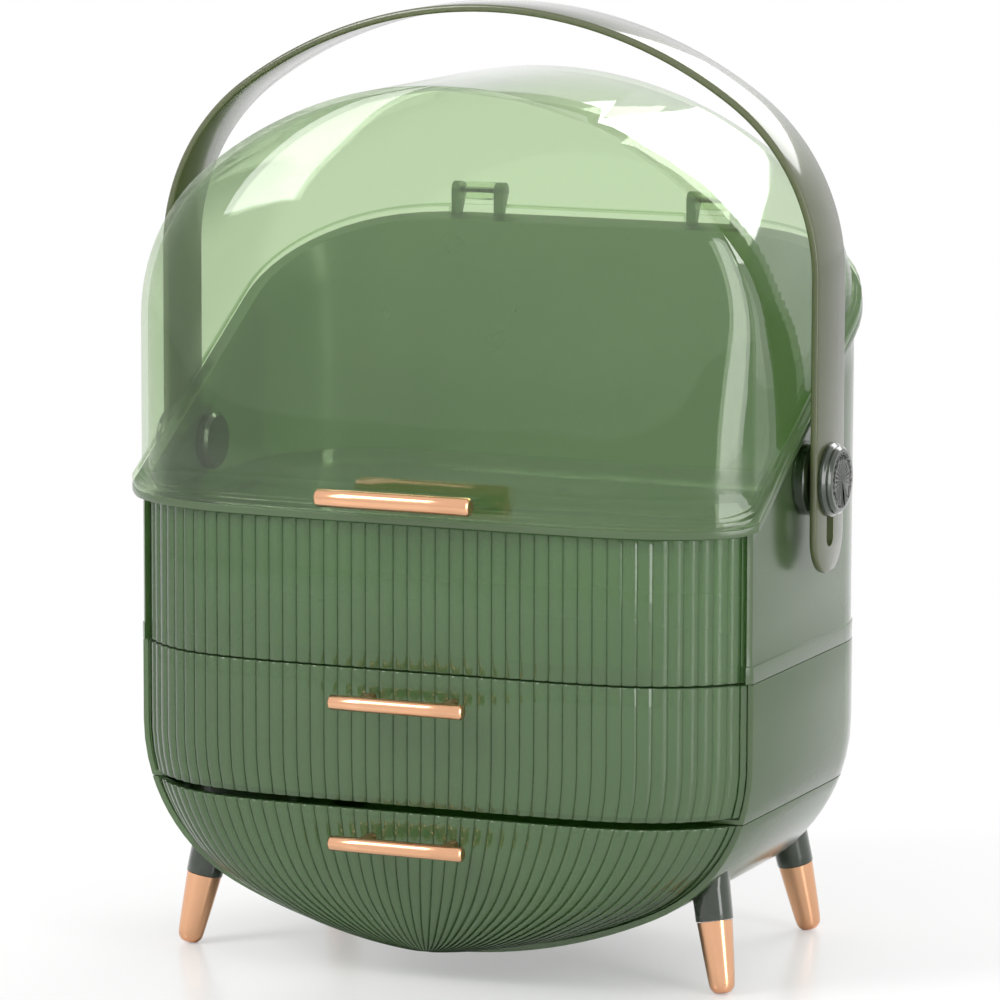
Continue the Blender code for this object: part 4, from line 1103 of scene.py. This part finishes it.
def dome_sheets(name, height, inset, face_inset):
    """One side of the dome's wall: the arch from side to side, the bowed face and the flat back."""
    depths = [(FRONT_Y + face_inset, inset)] + side_stations(inset)
    arches = []
    for y, drawn in depths:
        foot = height(y)
        right = [(half_width(foot, drawn), foot)] + arch_points(foot, drawn)
        arches.append([(x, y, z) for x, z in right] + [(-x, y, z) for x, z in reversed(right[:-1])])
    face = [face_points(height, inset, face_inset, PLAIN)]
    for x, y, z in arches[0][1:ARCH_STEPS]:
        reach = face_share(z)
        face.append([(share * x, FRONT_Y + face_inset - reach * bow(share), z) for share, groove in PLAIN])
    face.append([arches[0][ARCH_STEPS]] * len(PLAIN))
    last = arches[-1]
    back = [[last[k], last[-1 - k]] for k in range(ARCH_STEPS + 1)]
    sheets = (("over", arches), ("face", face), ("back", back))
    return [laid_sheet(f"{name}_{part}", rows) for part, rows in sheets]


print(ARCH_STEPS, "steps up each side of the arch")

# %% [markdown]
# ## Flange, tab and knuckles
#
# The lid is one moulding, so its flange, its lift tab and its hinge knuckles are of the same plastic
# as the dome. The flange joins the inner and outer skins at their foot. Two notches in it clear the
# hinge ears, and the tab carries the bar by which the lid is lifted.

# %% Lid with flange, tab and knuckles
BEAD_OUT = 0.0012
BEAD_HEIGHT = 0.0016
BAR_RISE = 0.0096
BAR_STANDOFF = 0.0212
TAB_WIDTH = 0.066
TAB_THICKNESS = 0.0026


def lid_shell():
    foot = rim(GAP)
    shelf = rim(GAP + FLANGE_THICKNESS)
    bead = rim(GAP + FLANGE_THICKNESS + BEAD_HEIGHT)
    profile = [(foot, LID_WALL), (foot, -FLANGE_OUT), (shelf, -FLANGE_OUT)]
    profile += [(shelf, -BEAD_OUT), (bead, -BEAD_OUT), (bead, 0)]
    flange = tube("lid_flange", [ring(height, inset, inset, PLAIN) for height, inset in profile])
    walls = dome_sheets("outer", bead, 0, 0) + dome_sheets("inner", foot, LID_WALL, LID_WALL)
    shell = closed_up("lid_shell", [flange] + walls, fill=False)
    base = rim(0)(BACK_Y)
    notch = block_outline(BACK_Y + GAP, BACK_Y + OVERRUN, base - OVERRUN, base + OVERRUN)
    half = KNUCKLE_WIDTH / 2 + EAR_WIDTH + 3 * HINGE_PLAY
    for side in (-1, 1):
        middle_x = side * HINGE_SPREAD
        cut_by(shell, pushed_outline("hinge_notch", notch, middle_x - half, middle_x + half, 0))
    return eased(shell, SMALL_EASE)


def knuckle(side):
    arc = [pi / 2 - pi * step / HEAD_STEPS for step in range(HEAD_STEPS + 1)]
    outline = [(HINGE_Y + HINGE_RADIUS * cos(a), HINGE_Z + HINGE_RADIUS * sin(a)) for a in arc]
    root = BACK_Y - HINGE_ROOT
    outline += [(root, HINGE_Z - HINGE_RADIUS), (root, HINGE_Z + HINGE_RADIUS)]
    near = side * HINGE_SPREAD - KNUCKLE_WIDTH / 2
    return pushed_outline("knuckle", outline, near, near + KNUCKLE_WIDTH)


def lift_tab():
    z = RIM_HEIGHT + BAR_RISE
    front, rear = FACE_Y - BAR_STANDOFF, FACE_Y + LID_WALL / 2
    outline = block_outline(front, rear, z - TAB_THICKNESS / 2, z + TAB_THICKNESS / 2)
    return pushed_outline("lift_tab", outline, -TAB_WIDTH / 2, TAB_WIDTH / 2)


dressed(joined("clear_lid", [lid_shell(), knuckle(-1), knuckle(1), lift_tab()]), "lid")

# %% [markdown]
# ## The tray
#
# Bottles stand on a clear tray at rim height, with the open well below it. It is a shallow tub whose
# walls follow the well's inside.

# %% Top tray
TRAY_FLOOR = RIM_HEIGHT - TRAY_DROP
TRAY_HEIGHT = 0.0085
TRAY_WALL = 0.0018
TRAY_GAP = 0.0006


def top_tray():
    inset = SHELL_WALL + TRAY_GAP
    face = FACE_WALL + GAP + TRAY_GAP
    brim = TRAY_FLOOR + TRAY_HEIGHT
    rings = [ring(level(z), inset, face, PLAIN) for z in (TRAY_FLOOR, brim)]
    inner = (inset + TRAY_WALL, face + TRAY_WALL, PLAIN)
    rings += [ring(level(z), *inner) for z in (brim, TRAY_FLOOR + TRAY_WALL)]
    return eased(solid_loft("clear_tray", rings), SHELL_EASE)


dressed(top_tray(), "top_tray")

# %% [markdown]
# ## The handle strap
#
# The handle is one flat strap bent over the lid, with eased edges, round tails and a slot in each
# tail that lets it rise on its pins. Its centre line is a three-centre arch. Rows of a rounded
# section are laid along it, narrower row by row at the tails, and the slots are cut through.

# %% Strap
PIVOT_HEIGHT = 0.2275
STRAP_HALF_SPAN = 0.160
STRAP_TOP = 0.4347
STRAP_CROWN_RADIUS = 0.206
STRAP_SHOULDER_RADIUS = 0.096
STRAP_WIDTH = 0.036
STRAP_THICKNESS = 0.0035
STRAP_EASE = 0.0014
STRAP_TAIL = 0.0425
PIN_HOLE = 0.0043
HANDLE_LIFT = 0.026
STRAP_STEPS = 26
SIDE_STEPS = 8
TAIL_STEPS = 14
CORNER_STEPS = 3
SLOT_STEPS = 20


def strap_path():
    """Rows (x, z, outward angle, half width) from the right tail up to the crown."""
    shoulder_x = STRAP_HALF_SPAN - STRAP_SHOULDER_RADIUS
    crown_z = STRAP_TOP - STRAP_CROWN_RADIUS
    shoulder_z = crown_z + sqrt((STRAP_CROWN_RADIUS - STRAP_SHOULDER_RADIUS) ** 2 - shoulder_x**2)
    meet = atan2(shoulder_z - crown_z, shoulder_x)
    half = STRAP_WIDTH / 2
    tail = PIVOT_HEIGHT - STRAP_TAIL
    rows = []
    for step in range(1, TAIL_STEPS + 1):
        angle = pi / 2 * step / TAIL_STEPS
        rows.append((STRAP_HALF_SPAN, tail + half * (1 - cos(angle)), 0.0, half * sin(angle)))
    climb = (shoulder_z - tail - half) / SIDE_STEPS
    rows += [(STRAP_HALF_SPAN, tail + half + climb * step, 0.0, half) for step in range(1, SIDE_STEPS)]
    for step in range(STRAP_STEPS + 1):
        angle = meet * step / STRAP_STEPS
        x = shoulder_x + STRAP_SHOULDER_RADIUS * cos(angle)
        rows.append((x, shoulder_z + STRAP_SHOULDER_RADIUS * sin(angle), angle, half))
    for step in range(1, STRAP_STEPS + 1):
        angle = meet + (pi / 2 - meet) * step / STRAP_STEPS
        x = STRAP_CROWN_RADIUS * cos(angle)
        rows.append((x, crown_z + STRAP_CROWN_RADIUS * sin(angle), angle, half))
    return rows


def strap_row(x, z, angle, half):
    """A flat section with eased edges, turned to face outwards."""
    thick = STRAP_THICKNESS / 2
    turns = [pi / 2 * step / CORNER_STEPS for step in range(CORNER_STEPS + 1)]
    top_right = [
        (thick - STRAP_EASE * (1 - cos(a)), half - min(STRAP_EASE, half / 2) * (1 - sin(a))) for a in turns
    ]
    top_left = [(-out, across) for out, across in reversed(top_right)]
    outline = top_right + top_left
    outline += [(-out, -across) for out, across in outline]
    return [(x + out * cos(angle), across, z + out * sin(angle)) for out, across in outline]


def strap():
    """The whole strap, its left half a mirror of its right, with one slot cut through both tails."""
    right = strap_path()
    left = [(-x, z, pi - angle, half) for x, z, angle, half in reversed(right[:-1])]
    body = solid_loft("strap_body", [strap_row(*row) for row in right + left])
    turns = [pi * step / SLOT_STEPS for step in range(SLOT_STEPS + 1)]
    slot = [(PIN_HOLE * cos(a), PIVOT_HEIGHT + PIN_HOLE * sin(a)) for a in turns]
    slot += [(-PIN_HOLE * cos(a), PIVOT_HEIGHT - HANDLE_LIFT - PIN_HOLE * sin(a)) for a in turns]
    reach = STRAP_HALF_SPAN + OVERRUN
    return cut_by(body, pushed_outline("strap_slot", slot, -reach, reach, 0))


dressed(strap(), "handle_strap")

# %% [markdown]
# ## Small turned pieces
#
# Bars, feet, cones, caps and pins are plain turned forms that the frame already holds. Each is
# copied, its flat triangles are joined back into the faces that they came from, the true corners are
# creased, and subdivision rounds the rest. The dark plastic ones also get a narrow bevel, since a
# mould leaves their edges slightly round.

# %% Round off copies of the frame's small solids
WELD = 0.000005
FLAT_ANGLE = radians(0.4)
CORNER_ANGLE = radians(30)
ROUNDING_LEVELS = 2
DARK_EASE = 0.0003


def rounded_copy(node, levels, edge):
    """The frame's own solid with its corners kept and its facets rounded."""
    piece = bpy.data.objects.new(f"{node}_turned", frame["nodes"][node].data.copy())
    bpy.context.scene.collection.objects.link(piece)
    only(piece)
    bpy.ops.object.mode_set(mode="EDIT")
    bpy.ops.mesh.select_mode(type="EDGE")
    bpy.ops.mesh.select_all(action="SELECT")
    bpy.ops.mesh.remove_doubles(threshold=WELD)
    bpy.ops.mesh.dissolve_limited(angle_limit=FLAT_ANGLE)
    bpy.ops.mesh.select_all(action="DESELECT")
    bpy.ops.mesh.edges_select_sharp(sharpness=CORNER_ANGLE)
    bpy.ops.transform.edge_crease(value=1)
    bpy.ops.object.mode_set(mode="OBJECT")
    modified(piece, "SUBSURF", levels=levels, render_levels=levels)
    return dressed(eased(piece, edge) if edge else piece, node)


LARGE = {"upper_housing", "middle_housing", "lower_housing", "front_panel", "upper_drawer"}
LARGE |= {"lower_drawer", "lid", "top_tray", "handle_strap"}
for node in sorted(set(frame["nodes"]) - LARGE):
    rounded_copy(node, ROUNDING_LEVELS, DARK_EASE if slot_of[node] == "dark_plastic" else 0.0)
